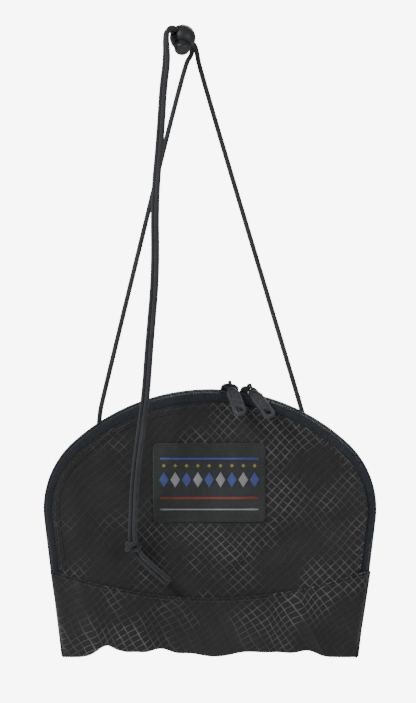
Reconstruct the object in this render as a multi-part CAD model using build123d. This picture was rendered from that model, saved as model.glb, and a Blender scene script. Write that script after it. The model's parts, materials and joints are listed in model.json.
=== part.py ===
from build123d import *
from math import cos, degrees, pi, radians, sin, tan
import os

# Neck pouch wallet, in millimetres. The front faces -Y, +X is to the right and +Z is up.
# The origin is the top of the neck loop, just under the cord lock, where the pouch hangs.

# ---- pouch outline: a flat arch on two rounded shoulders, with sides that lean in downwards ----
POUCH_X = 10.6            # the pouch's centre line
ARCH_TOP_Z = -175.4       # crest of the zip ridge
BOTTOM_Z = -318.0         # bottom seam
TOP_RADIUS = 108.1
SHOULDER_RADIUS = 47.7
TOP_HALF_ANGLE = 42.6     # degrees of the top arc on each side of the centre line
SIDE_LEAN = 7.0           # degrees that the straight sides lean in

# ---- fabric layers ----
FABRIC = 0.6
TAPE = 0.5
LAYER_GAP = 0.1           # air between two fabric layers that lie on each other
HEM_INSET = 6.5           # how far the panels' hems stay inside the crest
TAPE_DEPTH = 9.5          # how far the tapes reach inside the crest
SEAM_ALLOWANCE = 4.0

# ---- lower front panel ----
BAND_SEAM_SIDE_Z = -271.0
BAND_SEAM_MID_Z = -286.0
BAND_SEAM_MID_X = 3.0
BAND_FLAT = 5.0           # the band stays flat this far below its seam, then slopes back
BAND_BOTTOM_LIP = 1.6     # thickness of the closed bottom edge in front of the back panel
BINDING_WIDTH = 5.0
BINDING_INSET = 3.0
BINDING_THICK = 0.8

# ---- zip: a reverse coil, so the tapes are outside and the coils are inside ----
ZIP_TILT = 15.0           # degrees that the chain rolls towards the front
CHAIN_DEPTH = 1.65        # the chain's line below the crest
COIL_HALF_WIDTH = 3.0
COIL_THICK = 2.2
COIL_ROOM_FRONT = 0.57    # air between the coils and the fold of the front tape
COIL_ROOM_BACK = 0.9      # the same at the back tape
TAPE_STEP = 0.1           # how far each tape's edge stays back from its coil's inner side
COIL_END_Z = -254.0
TAPE_END_Z = -268.5
TACK_LENGTH = 3.0
TACK_THICK = 0.7

# ---- sliders ----
SLIDER_LENGTH = 9.8
SLIDER_WING = 0.9
SLIDER_HALF_WIDTH = 3.7
SLIDER_NOSE_HALF_WIDTH = 3.2
SLIDER_CORNER_R = 1.2
SLIDER_EDGE_R = 0.5
SLIDER_CLEARANCE = 0.25
LOWER_WING_FRONT = 3.0
LOWER_WING_BACK = 2.6
POST_WIDTH = 0.8
POST_CLEARANCE = 0.2      # between the post and the coils at its sides
POST_START = 1.5
POST_END = 4.2
BRIDGE_WIRE_R = 0.6
BRIDGE_HALF_SPAN = 3.2
BRIDGE_BEND = 1.35
SLIDER_PLACES = {"left": 10.22, "right": 20.44}   # along the chain from its middle

# ---- slider pulls: a flat tab on a ring that stands across it ----
PULL_LENGTH = 24.0
PULL_WIDTH = 7.2
PULL_THICK = 1.3
PULL_RING_ROOM = 0.9      # play between the ring and the bridge's wire
PULL_RING_WALL = 0.8
PULL_RING_LIFT = 0.5      # play between the ring and the slider's upper wing
PULL_RING_THICK = 1.1
PULL_NECK_WIDTH = 2.8
PULL_SHOULDER = 6.8
PULL_WINDOW = (4.4, 3.6)
PULL_WINDOW_WALL = 1.4
PULL_WINDOW_CORNER_R = 1.5
PULL_TIP_FLAT = 1.2       # width of the straight piece at the pull's rounded tip
PULL_RING_OVERLAP = 0.4   # how far the tab runs into its ring
PULL_LEAN = 49.5          # degrees that a hanging pull stands out from the front
PULL_SWINGS = {"left": 72.9, "right": 55.4}   # degrees between the pull and the zip's line

# ---- woven label ----
LABEL_SIZE = (59.6, 41.6)
LABEL_CENTRE = (-0.4, -224.85)
LABEL_THICK = 0.8
LABEL_CORNER_R = 2.0
THREAD_WIDTH = 0.45
THREAD_HEIGHT = 0.3
LABEL_STITCH_INSET = 1.4
LABEL_STITCH_R = 3.0      # corner radius of the stitching, measured at the label's edge
ZIP_STITCH_INSET = 8.0
BAND_STITCH_DROP = 1.6

# ---- cord lock: a ball with a sprung plunger ----
LOCK_CENTRE = Vector(-3.9, 0, 10.8)
LOCK_WALL = 1.1           # behind the spring
LOCK_PITCH = 40.0         # degrees that the plunger points forward of straight down
LOCK_ROLL = 3.0           # degrees that it points to the left
LOCK_TURN = 52.0          # degrees that the cord hole is turned about the plunger
LOCK_HOLE_ROOM = 0.35     # play round the two cords in the cross hole
LOCK_BORE_R = 4.2
PLUNGER_CLEARANCE = 0.15
PLUNGER_PROUD = 3.3       # how far the button stands out of the ball
PLUNGER_WEB = 1.0
PLUNGER_TRAVEL = 2.0
PLUNGER_STOP = 0.2        # what is left under the plunger when it is pressed right in
PLUNGER_DOME = 1.6
SPRING_BORE_R = 2.6
SPRING_BORE_DEPTH = 1.2
SPRING_CLEARANCE = 0.2
SPRING_WIRE_R = 0.2
SPRING_TURNS = 3.5

# ---- neck cord ----
CORD_D = 2.6
CORD_PAIR_GAP = 0.1       # between the two cords where they run side by side
ANCHOR_WIDTH = 8.0
ANCHOR_LENGTH = 10.0
ANCHOR_COVER = 2.0        # cloth behind the cord's middle line
ANCHOR_SEAT = 0.03        # between the tab and the back panel
KNOT_R = 4.0

# ---- worked out from the sizes above ----
TOP_CENTRE_Z = ARCH_TOP_Z - TOP_RADIUS
SHOULDER_X = (TOP_RADIUS - SHOULDER_RADIUS) * sin(radians(TOP_HALF_ANGLE))
SHOULDER_Z = TOP_CENTRE_Z + (TOP_RADIUS - SHOULDER_RADIUS) * cos(radians(TOP_HALF_ANGLE))
SIDE_ANGLE = 90.0 + SIDE_LEAN
COIL_GAP = POST_WIDTH + 2 * POST_CLEARANCE
TAPE_SLIT = COIL_GAP + 2 * TAPE_STEP
FRONT_FOLD = COIL_HALF_WIDTH + COIL_ROOM_FRONT
BACK_FOLD = COIL_HALF_WIDTH + COIL_ROOM_BACK
FRONT_TAPE_Y = -FRONT_FOLD * cos(radians(ZIP_TILT)) - TAPE
FRONT_PANEL_Y = FRONT_TAPE_Y - LAYER_GAP - FABRIC
BAND_Y = FRONT_PANEL_Y - LAYER_GAP - FABRIC
BACK_TAPE_Y = BACK_FOLD * cos(radians(ZIP_TILT)) + TAPE
BACK_PANEL_Y = BACK_TAPE_Y + LAYER_GAP
COIL_UNDER = COIL_THICK + LAYER_GAP / 2
PULL_RING_INNER_R = BRIDGE_WIRE_R + PULL_RING_ROOM
PULL_RING_OUTER_R = PULL_RING_INNER_R + PULL_RING_WALL
BRIDGE_HEIGHT = PULL_RING_OUTER_R + PULL_RING_LIFT   # the bar's centre above the upper wing
PAIR_HALF = (CORD_D + CORD_PAIR_GAP) / 2
LOCK_HOLE_R = CORD_D + CORD_PAIR_GAP / 2 + LOCK_HOLE_ROOM
PLUNGER_SLOT_LOW = -CORD_D / 2 - CORD_PAIR_GAP
PLUNGER_INNER_END = PLUNGER_SLOT_LOW - PLUNGER_WEB
LOCK_BORE_END = PLUNGER_INNER_END - PLUNGER_TRAVEL - PLUNGER_STOP
SPRING_BORE_END = LOCK_BORE_END - SPRING_BORE_DEPTH
SPRING_R = SPRING_BORE_R - SPRING_CLEARANCE - SPRING_WIRE_R
LOCK_BALL_R = LOCK_WALL - SPRING_BORE_END
PLUNGER_R = LOCK_BORE_R - PLUNGER_CLEARANCE
PLUNGER_TIP = LOCK_BALL_R + PLUNGER_PROUD
FORWARD = Vector(0, -1, 0)


def outward(angle):
    """Unit vector from an arc's centre to its point at this many degrees from the top."""
    return Vector(sin(radians(angle)), 0, cos(radians(angle)))


def tangent(angle):
    """Unit vector along the arch, from left to right."""
    return Vector(cos(radians(angle)), 0, -sin(radians(angle)))


def shoulder_centre(side):
    return Vector(POUCH_X + side * SHOULDER_X, 0, SHOULDER_Z)


def top_centre():
    return Vector(POUCH_X, 0, TOP_CENTRE_Z)


def side_start(side, inset=0.0):
    """Where the shoulder's arc ends and the straight side begins."""
    return shoulder_centre(side) + outward(side * SIDE_ANGLE) * (SHOULDER_RADIUS - inset)


def side_point(side, z, inset=0.0):
    """The point of the straight side at this height."""
    start = side_start(side, inset)
    return Vector(start.X - side * (start.Z - z) * tan(radians(SIDE_LEAN)), 0, z)


def outline(inset, bottom_z):
    """The pouch's outline, moved inwards and closed along a level bottom, as a face at y = 0."""
    def on_top(angle):
        return top_centre() + outward(angle) * (TOP_RADIUS - inset)

    def on_shoulder(side, angle):
        return shoulder_centre(side) + outward(side * angle) * (SHOULDER_RADIUS - inset)

    mid_shoulder = (TOP_HALF_ANGLE + SIDE_ANGLE) / 2
    edges = []
    edges.append(ThreePointArc(on_top(-TOP_HALF_ANGLE), on_top(0), on_top(TOP_HALF_ANGLE)))
    for side in (-1, 1):
        edges.append(
            ThreePointArc(
                on_shoulder(side, TOP_HALF_ANGLE),
                on_shoulder(side, mid_shoulder),
                side_start(side, inset),
            )
        )
        edges.append(Line(side_start(side, inset), side_point(side, bottom_z, inset)))
    edges.append(Line(side_point(-1, bottom_z, inset), side_point(1, bottom_z, inset)))
    return Face(Wire(edges))


def slab(face, y_low, y_high):
    """A plate of the outline between two depths."""
    return extrude(face.moved(Location((0, y_low, 0))), amount=y_high - y_low, dir=(0, 1, 0))


def along_zip(section, end_z):
    """Runs a section along the zip: up one side, round the shoulders and the top, and down.
    The section's x is outwards from the crest and its y is forward."""
    def at(centre, angle, radius):
        point = centre + outward(angle) * radius
        return Plane(origin=point, x_dir=outward(angle), z_dir=tangent(angle)) * section

    pieces = []
    top_face = at(top_centre(), -TOP_HALF_ANGLE, TOP_RADIUS)
    pieces.append(revolve(top_face, Axis(top_centre(), (0, 1, 0)), 2 * TOP_HALF_ANGLE))
    shoulder_turn = SIDE_ANGLE - TOP_HALF_ANGLE
    for side, start in ((-1, -SIDE_ANGLE), (1, TOP_HALF_ANGLE)):
        centre = shoulder_centre(side)
        face = at(centre, start, SHOULDER_RADIUS)
        pieces.append(revolve(face, Axis(centre, (0, 1, 0)), shoulder_turn))
        side_length = (side_start(side).Z - end_z) / cos(radians(SIDE_LEAN))
        face = at(centre, side * SIDE_ANGLE, SHOULDER_RADIUS)
        pieces.append(extrude(face, amount=side_length, dir=tangent(side * SIDE_ANGLE) * side))
    return one_solid(pieces)


def one_solid(pieces):
    """The union of the pieces, which have to make a single solid."""
    whole = pieces[0].fuse(*pieces[1:]) if len(pieces) > 1 else pieces[0]
    whole = Part() + whole
    solids = whole.solids()
    assert len(solids) == 1, f"{len(solids)} solids"
    return solids[0]


def chain(w, n):
    """A point of the zip's section: w from the chain's middle towards the front, n outwards.
    The result is (outwards from the crest, forward)."""
    tilt = radians(ZIP_TILT)
    return (-CHAIN_DEPTH - w * sin(tilt) + n * cos(tilt), w * cos(tilt) + n * sin(tilt))


def chain_crossing(n, forward):
    """How far along the chain's line, at this height n, it reaches this forward distance."""
    tilt = radians(ZIP_TILT)
    return (forward - n * sin(tilt)) / cos(tilt)


def polygon(points):
    """A flat face in the XY plane through these points."""
    return Face(Wire(Polyline(*points, close=True).edges()))


def tape_section(side):
    """A tape that lies on the coil and folds down at its outer side: 1 is the front tape."""
    inner = side * TAPE_SLIT / 2
    if side > 0:
        outer_y = -FRONT_TAPE_Y
    else:
        outer_y = -BACK_TAPE_Y
    inner_y = outer_y - side * TAPE
    low = -TAPE_DEPTH
    return polygon(
        [
            chain(inner, 0),
            chain(chain_crossing(0, inner_y), 0),
            (low, inner_y),
            (low, outer_y),
            chain(chain_crossing(TAPE, outer_y), TAPE),
            chain(inner, TAPE),
        ]
    )


def chain_block(w_low, w_high, n_low, n_high):
    """A rectangle of the zip's section, in line with the chain."""
    corners = ((w_low, n_low), (w_high, n_low), (w_high, n_high), (w_low, n_high))
    return polygon([chain(w, n) for w, n in corners])


def make_zip():
    tape_front = along_zip(tape_section(1), TAPE_END_Z)
    tape_back = along_zip(tape_section(-1), TAPE_END_Z)
    n_low = -COIL_UNDER
    n_high = -LAYER_GAP / 2
    coil_front = along_zip(chain_block(COIL_GAP / 2, COIL_HALF_WIDTH, n_low, n_high), COIL_END_Z)
    coil_back = along_zip(chain_block(-COIL_HALF_WIDTH, -COIL_GAP / 2, n_low, n_high), COIL_END_Z)
    pieces = {
        "zipper_tape_front": tape_front,
        "zipper_tape_back": tape_back,
        "zipper_coil_front": coil_front,
        "zipper_coil_back": coil_back,
    }
    tack = chain_block(-COIL_HALF_WIDTH, COIL_HALF_WIDTH, TAPE, TAPE + TACK_THICK)
    for side, name in ((-1, "left"), (1, "right")):
        down = tangent(side * SIDE_ANGLE) * side
        reach = (side_start(side).Z - COIL_END_Z) / cos(radians(SIDE_LEAN))
        plane = Plane(
            origin=side_start(side) + down * reach,
            x_dir=outward(side * SIDE_ANGLE),
            z_dir=tangent(side * SIDE_ANGLE),
        )
        pieces[f"zipper_end_tack_{name}"] = extrude(plane * tack, amount=TACK_LENGTH, dir=down)
    return pieces


def band_seam(drop=0.0):
    """The curved seam between the two front panels, as an edge at y = 0."""
    left = side_point(-1, BAND_SEAM_SIDE_Z)
    right = side_point(1, BAND_SEAM_SIDE_Z)
    middle = Vector(POUCH_X + BAND_SEAM_MID_X, 0, BAND_SEAM_MID_Z)
    down = Vector(0, 0, -drop)
    return ThreePointArc(left + down, middle + down, right + down)


def below_seam(drop=0.0):
    """A wide block of everything below the curved seam."""
    seam = band_seam(drop)
    low = BOTTOM_Z - 20
    start = seam @ 0
    end = seam @ 1
    far_left = Vector(start.X - 20, 0, start.Z)
    far_right = Vector(end.X + 20, 0, end.Z)
    edges = [
        seam,
        Line(end, far_right),
        Line(far_right, Vector(far_right.X, 0, low)),
        Line(Vector(far_right.X, 0, low), Vector(far_left.X, 0, low)),
        Line(Vector(far_left.X, 0, low), far_left),
        Line(far_left, start),
    ]
    return slab(Face(Wire(edges)), -30, 30)


def band_envelope(inset, back_y, beyond=0.0):
    """The closed space of the lower front panel, moved inwards by a fabric's thickness.
    It can run on beyond its back, to cut right through it."""
    front_y = BAND_Y + inset
    bottom = BOTTOM_Z + inset
    side_profile = [
        (back_y + beyond, BAND_SEAM_SIDE_Z + 1),
        (front_y, BAND_SEAM_SIDE_Z + 1),
        (front_y, BAND_SEAM_MID_Z - BAND_FLAT),
        (back_y - BAND_BOTTOM_LIP + inset, bottom),
        (back_y + beyond, bottom),
    ]
    width = 2 * TOP_RADIUS
    profile = polygon(side_profile)
    plane = Plane(origin=(POUCH_X - width / 2, 0, 0), x_dir=(0, 1, 0), z_dir=(1, 0, 0))
    return extrude(plane * profile, amount=width)


def make_panels():
    back_y = BACK_PANEL_Y
    back_panel = slab(outline(HEM_INSET, BOTTOM_Z + 1), back_y, back_y + FABRIC)
    side_strips = slab(outline(0, BOTTOM_Z), back_y, back_y + FABRIC) & below_seam(0)
    back_panel = one_solid([back_panel, side_strips])

    front_panel = slab(outline(HEM_INSET, BOTTOM_Z), FRONT_PANEL_Y, FRONT_PANEL_Y + FABRIC)
    front_panel = one_solid([front_panel - below_seam(SEAM_ALLOWANCE)])

    inner_back_y = BACK_TAPE_Y
    outer = slab(outline(0, BOTTOM_Z), BAND_Y - 1, inner_back_y) & band_envelope(0, inner_back_y)
    inner_shape = slab(outline(FABRIC, BOTTOM_Z), BAND_Y - 1, inner_back_y + 1)
    inner = inner_shape & band_envelope(FABRIC, inner_back_y, beyond=1.0)
    band = one_solid([(outer - inner) & below_seam()])

    ring = outline(BINDING_INSET, BOTTOM_Z + BINDING_INSET)
    hole = outline(BINDING_INSET + BINDING_WIDTH, BOTTOM_Z + BINDING_INSET + BINDING_WIDTH)
    binding_y = inner_back_y - BINDING_THICK
    binding = slab(ring, binding_y, inner_back_y) - slab(hole, binding_y - 1, inner_back_y + 1)
    binding = one_solid([binding & below_seam(SEAM_ALLOWANCE)])
    return {
        "front_panel": front_panel,
        "lower_front_panel": band,
        "back_panel": back_panel,
        "seam_binding": binding,
    }


def front_plane(y):
    """A plane that faces the front, with x to the right and y up."""
    return Plane(origin=(POUCH_X, y, 0), x_dir=(1, 0, 0), z_dir=(0, -1, 0))


def make_label():
    x, z = LABEL_CENTRE
    width, height = LABEL_SIZE
    back = front_plane(FRONT_PANEL_Y - LAYER_GAP / 2)
    sheet = back * Location((x, z, 0)) * RectangleRounded(width, height, LABEL_CORNER_R)
    label = extrude(sheet, amount=LABEL_THICK)

    face = front_plane(FRONT_PANEL_Y - LAYER_GAP / 2 - LABEL_THICK)
    loops = []
    for inset in (LABEL_STITCH_INSET, LABEL_STITCH_INSET + THREAD_WIDTH):
        radius = LABEL_STITCH_R - inset
        loops.append(RectangleRounded(width - 2 * inset, height - 2 * inset, radius))
    stitch = face * Location((x, z, 0)) * (loops[0] - loops[1])
    return {"woven_label": label, "label_stitching": extrude(stitch, amount=THREAD_HEIGHT)}


def make_topstitching():
    """Two rows of thread: one holds the front panel's hem to the tape, one the curved seam."""
    forward = -FRONT_PANEL_Y
    section = polygon(
        [
            (-ZIP_STITCH_INSET, forward),
            (-ZIP_STITCH_INSET + THREAD_WIDTH, forward),
            (-ZIP_STITCH_INSET + THREAD_WIDTH, forward + THREAD_HEIGHT),
            (-ZIP_STITCH_INSET, forward + THREAD_HEIGHT),
        ]
    )
    zip_row = along_zip(section, TAPE_END_Z + TACK_LENGTH)
    strip = below_seam(BAND_STITCH_DROP) - below_seam(BAND_STITCH_DROP + THREAD_WIDTH)
    width_limit = slab(outline(ZIP_STITCH_INSET, BOTTOM_Z), BAND_Y - THREAD_HEIGHT, BAND_Y)
    return {"zip_topstitching": zip_row, "band_topstitching": one_solid([strip & width_limit])}


def slider_angle(name):
    return degrees(SLIDER_PLACES[name] / (TOP_RADIUS - CHAIN_DEPTH))


def slider_frame(name):
    """Where a slider stands on the chain: x along the zip, y towards the front, z outwards."""
    angle = slider_angle(name)
    tilt = radians(ZIP_TILT)
    centre = top_centre() + outward(angle) * (TOP_RADIUS - CHAIN_DEPTH)
    normal = outward(angle) * cos(tilt) + FORWARD * sin(tilt)
    return Plane(origin=centre, x_dir=tangent(angle), z_dir=normal)


def make_slider(name):
    """Two wings joined by a post between the coils, with a bridge of round wire on top."""
    upper_low = TAPE + SLIDER_CLEARANCE
    upper_high = upper_low + SLIDER_WING
    lower_high = -COIL_UNDER - SLIDER_CLEARANCE
    half = SLIDER_LENGTH / 2

    def wing(points, low):
        plate = extrude(polygon(points), amount=SLIDER_WING)
        plate = fillet(plate.edges().filter_by(Axis.Z), SLIDER_CORNER_R)
        return plate.moved(Location((0, 0, low)))

    # The frame's y points to the back, so the front is at negative y.
    wide = SLIDER_HALF_WIDTH
    nose = SLIDER_NOSE_HALF_WIDTH
    upper = wing([(-half, -nose), (half, -wide), (half, wide), (-half, nose)], upper_low)
    upper = fillet(upper.faces().sort_by(Axis.Z)[-1].edges(), SLIDER_EDGE_R)
    lower_low = lower_high - SLIDER_WING
    front = -LOWER_WING_FRONT
    back = LOWER_WING_BACK
    lower = wing([(-half, front), (half, front), (half, back), (-half, back)], lower_low)
    post_height = upper_low - lower_high + SLIDER_WING
    post = Box(POST_END - POST_START, POST_WIDTH, post_height)
    post = post.moved(
        Location(((POST_START + POST_END) / 2, 0, lower_high - SLIDER_WING / 2 + post_height / 2))
    )
    bar = upper_high + BRIDGE_HEIGHT
    foot = upper_high - SLIDER_WING / 2
    span = BRIDGE_HALF_SPAN
    path = FilletPolyline(
        (-span, 0, foot), (-span, 0, bar), (span, 0, bar), (span, 0, foot), radius=BRIDGE_BEND
    )
    wire_face = Plane(origin=path @ 0, z_dir=path % 0) * Circle(BRIDGE_WIRE_R)
    bridge = sweep(wire_face, path=path)
    body = one_solid([upper, lower, post, bridge])
    if name == "right":
        body = body.mirror(Plane.YZ)
    return body.moved(slider_frame(name).location)


def bridge_axis(name):
    """The middle of a slider's bridge bar, which its pull turns on."""
    frame = slider_frame(name)
    return frame.origin + frame.z_dir * (TAPE + SLIDER_CLEARANCE + SLIDER_WING + BRIDGE_HEIGHT)


def make_pull(name):
    """A tab with a window near its end, on a ring round the slider's bridge."""
    length = PULL_LENGTH
    half = PULL_WIDTH / 2
    neck = PULL_NECK_WIDTH / 2
    start = PULL_RING_OUTER_R - PULL_RING_OVERLAP
    tab = polygon(
        [
            (start, -neck),
            (PULL_SHOULDER, -half),
            (length, -half),
            (length, half),
            (PULL_SHOULDER, half),
            (start, neck),
        ]
    )
    tab = extrude(tab, amount=PULL_THICK / 2, both=True)
    end_corners = tab.edges().filter_by(Axis.Z).sort_by(Axis.X)[-2:]
    tab = fillet(end_corners, half - PULL_TIP_FLAT / 2)
    window_length, window_width = PULL_WINDOW
    window_x = length - PULL_WINDOW_WALL - window_length / 2
    opening = RectangleRounded(window_length, window_width, PULL_WINDOW_CORNER_R)
    window = extrude(opening, amount=PULL_THICK, both=True)
    tab -= window.moved(Location((window_x, 0, 0)))
    ring = Cylinder(PULL_RING_OUTER_R, PULL_RING_THICK)
    ring -= Cylinder(PULL_RING_INNER_R, 2 * PULL_RING_THICK)
    ring = ring.rotate(Axis.X, 90)
    body = one_solid([tab, ring])

    angle = slider_angle(name)
    lean = radians(PULL_LEAN)
    swing = radians(PULL_SWINGS[name])
    hanging = outward(angle) * -cos(lean) + FORWARD * sin(lean)
    along = tangent(angle) * cos(swing) + hanging * sin(swing)
    across = tangent(angle) * sin(swing) - hanging * cos(swing)
    place = Plane(origin=bridge_axis(name), x_dir=along, z_dir=along.cross(across))
    return body.moved(place.location)


# ---- cord lock ----
def lock_frame():
    """The lock's own frame: x along the cord hole to its left mouth, z along the plunger."""
    roll = radians(LOCK_ROLL)
    pitch = radians(LOCK_PITCH)
    turn = radians(LOCK_TURN)
    plunger = Vector(-sin(roll) * cos(pitch), -sin(pitch), -cos(roll) * cos(pitch))
    level = plunger.cross(Vector(0, 0, 1)).normalized()
    hole = level * cos(turn) - plunger.cross(level) * sin(turn)
    return Plane(origin=LOCK_CENTRE, x_dir=hole, z_dir=plunger)


def make_lock():
    """A ball with a blind bore and a cross hole, its plunger with a slot, and the spring."""
    slot_low = PLUNGER_SLOT_LOW
    slot_high = PLUNGER_TRAVEL - slot_low

    def rod(radius, low, high):
        return Cylinder(radius, high - low).moved(Location((0, 0, (low + high) / 2)))

    cross_hole = Cylinder(LOCK_HOLE_R, 4 * LOCK_BALL_R).rotate(Axis.Y, 90)
    ball = Sphere(LOCK_BALL_R) - rod(LOCK_BORE_R, LOCK_BORE_END, 2 * LOCK_BALL_R)
    ball = ball - rod(SPRING_BORE_R, SPRING_BORE_END, 0) - cross_hole
    button = rod(PLUNGER_R, PLUNGER_INNER_END, PLUNGER_TIP)
    button = fillet(button.edges().sort_by(Axis.Z)[-1:], PLUNGER_DOME)
    slot = Box(4 * PLUNGER_R, 2 * LOCK_HOLE_R, slot_high - slot_low)
    button -= slot.moved(Location((0, 0, (slot_low + slot_high) / 2)))
    spring_low = SPRING_BORE_END + SPRING_WIRE_R + LAYER_GAP / 2
    spring_high = PLUNGER_INNER_END - SPRING_WIRE_R - LAYER_GAP / 2
    height = spring_high - spring_low
    path = Helix(pitch=height / SPRING_TURNS, height=height, radius=SPRING_R)
    wire_face = Plane(origin=path @ 0, z_dir=path % 0) * Circle(SPRING_WIRE_R)
    spring = sweep(wire_face, path=path, is_frenet=True).moved(Location((0, 0, spring_low)))
    pieces = {"lock_ball": ball, "lock_plunger": button, "lock_spring": spring}
    place = lock_frame().location
    return {node: one_solid([piece]).moved(place) for node, piece in pieces.items()}


# ---- neck cord: two cords, each from its anchor up to the lock, through it and down to the knot ----
# The left cord arrives at the back of the lock's hole and leaves it behind the right one.
LEFT_RISE = [
    (-48.6, 7.0, -198.5),
    (-48.4, 7.0, -190.4),
    (-46.6, 7.1, -181.0),
    (-3.2, 6.4, -3.3),
    (1.0, 7.0, 2.4),
]
RIGHT_RISE = [
    (62.3, 7.0, -196.1),
    (59.6, 7.0, -187.6),
    (57.2, 7.1, -179.0),
    (5.3, 6.0, -6.0),
    (3.6, 4.9, 3.4),
]
# The straight runs through the lock, as distances along its cross hole.
LEFT_THROUGH = (-8.98, 8.54)
RIGHT_THROUGH = (-8.58, 8.81)
# Over the lock's left mouth and down beside it.
LEFT_TURN = [(-13.1, -6.2, 14.0), (-14.1, -7.4, 10.8)]
RIGHT_TURN = [(-11.6, -8.3, 15.9), (-13.6, -9.9, 12.6)]
# Middle line of the doubled cord, from beside the lock to the knot, and the ends below it.
PAIR_ROUTE = [
    (-13.6, -9.2, -1.6),
    (-14.4, -10.3, -16.0),
    (-15.0, -11.6, -33.0),
    (-16.2, -12.9, -50.0),
    (-17.8, -14.3, -67.0),
    (-18.4, -15.8, -85.0),
    (-18.1, -17.1, -103.0),
    (-18.5, -18.9, -121.0),
    (-20.0, -20.7, -139.0),
    (-21.5, -22.1, -157.0),
    (-22.7, -22.7, -175.0),
    (-24.9, -22.1, -193.0),
    (-27.5, -19.8, -211.0),
    (-29.2, -16.6, -228.0),
    (-29.9, -13.2, -244.0),
]
PAIR_TWIST = (12.0, 55.0)  # degrees that the pair is turned at the top and at the bottom
KNOT_CENTRE = Vector(-30.2, -10.8, -258.2)
LEFT_TAIL = [(-24.6, -9.6, -268.6), (-12.6, -9.0, -279.4)]
RIGHT_TAIL = [(-22.0, -11.4, -266.0), (-10.2, -11.6, -275.6)]


def pair_points(side):
    """One cord of the doubled stretch: -1 is the left cord, behind, and 1 the right one."""
    middle = [Vector(*point) for point in PAIR_ROUTE] + [KNOT_CENTRE]
    first, last = PAIR_TWIST
    points = []
    for index, point in enumerate(middle):
        twist = radians(first + (last - first) * index / (len(middle) - 1))
        points.append(point + Vector(sin(twist), -cos(twist), 0) * side * PAIR_HALF)
    return points


def through_lock(side):
    """The two ends of a cord's straight run in the lock, where the cords lie side by side."""
    frame = lock_frame()
    run = LEFT_THROUGH if side < 0 else RIGHT_THROUGH
    return [frame.origin + frame.x_dir * along - frame.y_dir * side * PAIR_HALF for along in run]


def cord_route(side):
    rise, turn, ends = (
        (LEFT_RISE, LEFT_TURN, LEFT_TAIL) if side < 0 else (RIGHT_RISE, RIGHT_TURN, RIGHT_TAIL)
    )
    rise, turn, ends = [[Vector(*point) for point in stretch] for stretch in (rise, turn, ends)]
    return rise + through_lock(side) + turn + pair_points(side) + ends


def make_cord(side):
    """A tube along straight runs and the largest arcs that each corner's two runs allow."""
    points = cord_route(side)
    radii = []
    for before, here, after in zip(points, points[1:], points[2:]):
        first = here - before
        second = after - here
        turn = radians(first.get_angle(second))
        radii.append(0.45 * min(first.length, second.length) / tan(turn / 2))
    path = FilletPolyline(*points, radius=radii)
    section = Plane(origin=path @ 0, z_dir=path % 0) * Circle(CORD_D / 2)
    tube = one_solid([sweep(section, path=path)])
    ratio = tube.volume / (pi * CORD_D**2 / 4 * path.length)
    print("cord", "left" if side < 0 else "right", round(path.length, 1), "mm, volume ratio", round(ratio, 4))
    print("  radii", [round(radius, 1) for radius in radii])
    return tube


def make_anchor(rise):
    """The sewn tab that holds a cord's end against the back panel."""
    top = Vector(*rise[0])
    along = (Vector(*rise[1]) - top).normalized()
    along = Vector(along.X, 0, along.Z).normalized()
    front = BACK_PANEL_Y + FABRIC + ANCHOR_SEAT
    back = top.Y + ANCHOR_COVER
    middle = Vector(top.X, (front + back) / 2, top.Z) - along * (ANCHOR_LENGTH / 2)
    frame = Plane(origin=middle, x_dir=along.cross(Vector(0, 1, 0)), z_dir=along)
    return one_solid([Box(ANCHOR_WIDTH, back - front, ANCHOR_LENGTH).moved(frame.location)])


def make_parts():
    parts = {}
    parts.update(make_panels())
    parts.update(make_zip())
    parts.update(make_label())
    parts.update(make_topstitching())
    for name in SLIDER_PLACES:
        parts[f"{name}_slider"] = make_slider(name)
        parts[f"{name}_pull"] = make_pull(name)
    parts.update(make_lock())
    parts["cord_anchor_left"] = make_anchor(LEFT_RISE)
    parts["cord_anchor_right"] = make_anchor(RIGHT_RISE)
    parts["neck_cord_left"] = make_cord(-1)
    parts["neck_cord_right"] = make_cord(1)
    parts["cord_end_knot"] = one_solid([Sphere(KNOT_R).moved(Location(KNOT_CENTRE))])
    return parts


os.makedirs("parts", exist_ok=True)
for node, shape in make_parts().items():
    shape.label = node
    export_step(shape, f"parts/{node}.step")
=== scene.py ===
import json
from math import acos, atan2, cos, pi, radians, sin, tan

import bpy
import numpy as np
from mathutils import Matrix, Vector, noise


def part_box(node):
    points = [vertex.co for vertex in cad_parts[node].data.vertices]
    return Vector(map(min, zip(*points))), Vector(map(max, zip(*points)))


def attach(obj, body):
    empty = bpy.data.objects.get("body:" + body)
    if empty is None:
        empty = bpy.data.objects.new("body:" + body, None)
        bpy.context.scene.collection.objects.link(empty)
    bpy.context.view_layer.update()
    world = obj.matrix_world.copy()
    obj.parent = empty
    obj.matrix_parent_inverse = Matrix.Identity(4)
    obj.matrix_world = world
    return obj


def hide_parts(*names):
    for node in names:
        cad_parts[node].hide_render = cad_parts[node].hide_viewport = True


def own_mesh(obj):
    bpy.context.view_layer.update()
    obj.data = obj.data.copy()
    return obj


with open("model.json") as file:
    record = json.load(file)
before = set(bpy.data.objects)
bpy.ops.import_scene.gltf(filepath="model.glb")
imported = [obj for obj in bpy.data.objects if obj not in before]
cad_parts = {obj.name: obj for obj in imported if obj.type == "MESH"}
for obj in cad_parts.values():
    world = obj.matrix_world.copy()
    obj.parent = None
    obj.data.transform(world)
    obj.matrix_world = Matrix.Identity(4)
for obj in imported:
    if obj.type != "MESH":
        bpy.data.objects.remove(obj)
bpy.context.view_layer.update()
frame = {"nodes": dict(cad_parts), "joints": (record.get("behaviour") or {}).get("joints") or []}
nodes = frame["nodes"]
MM = 0.001
FORWARD = Vector((0, -1, 0))


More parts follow.
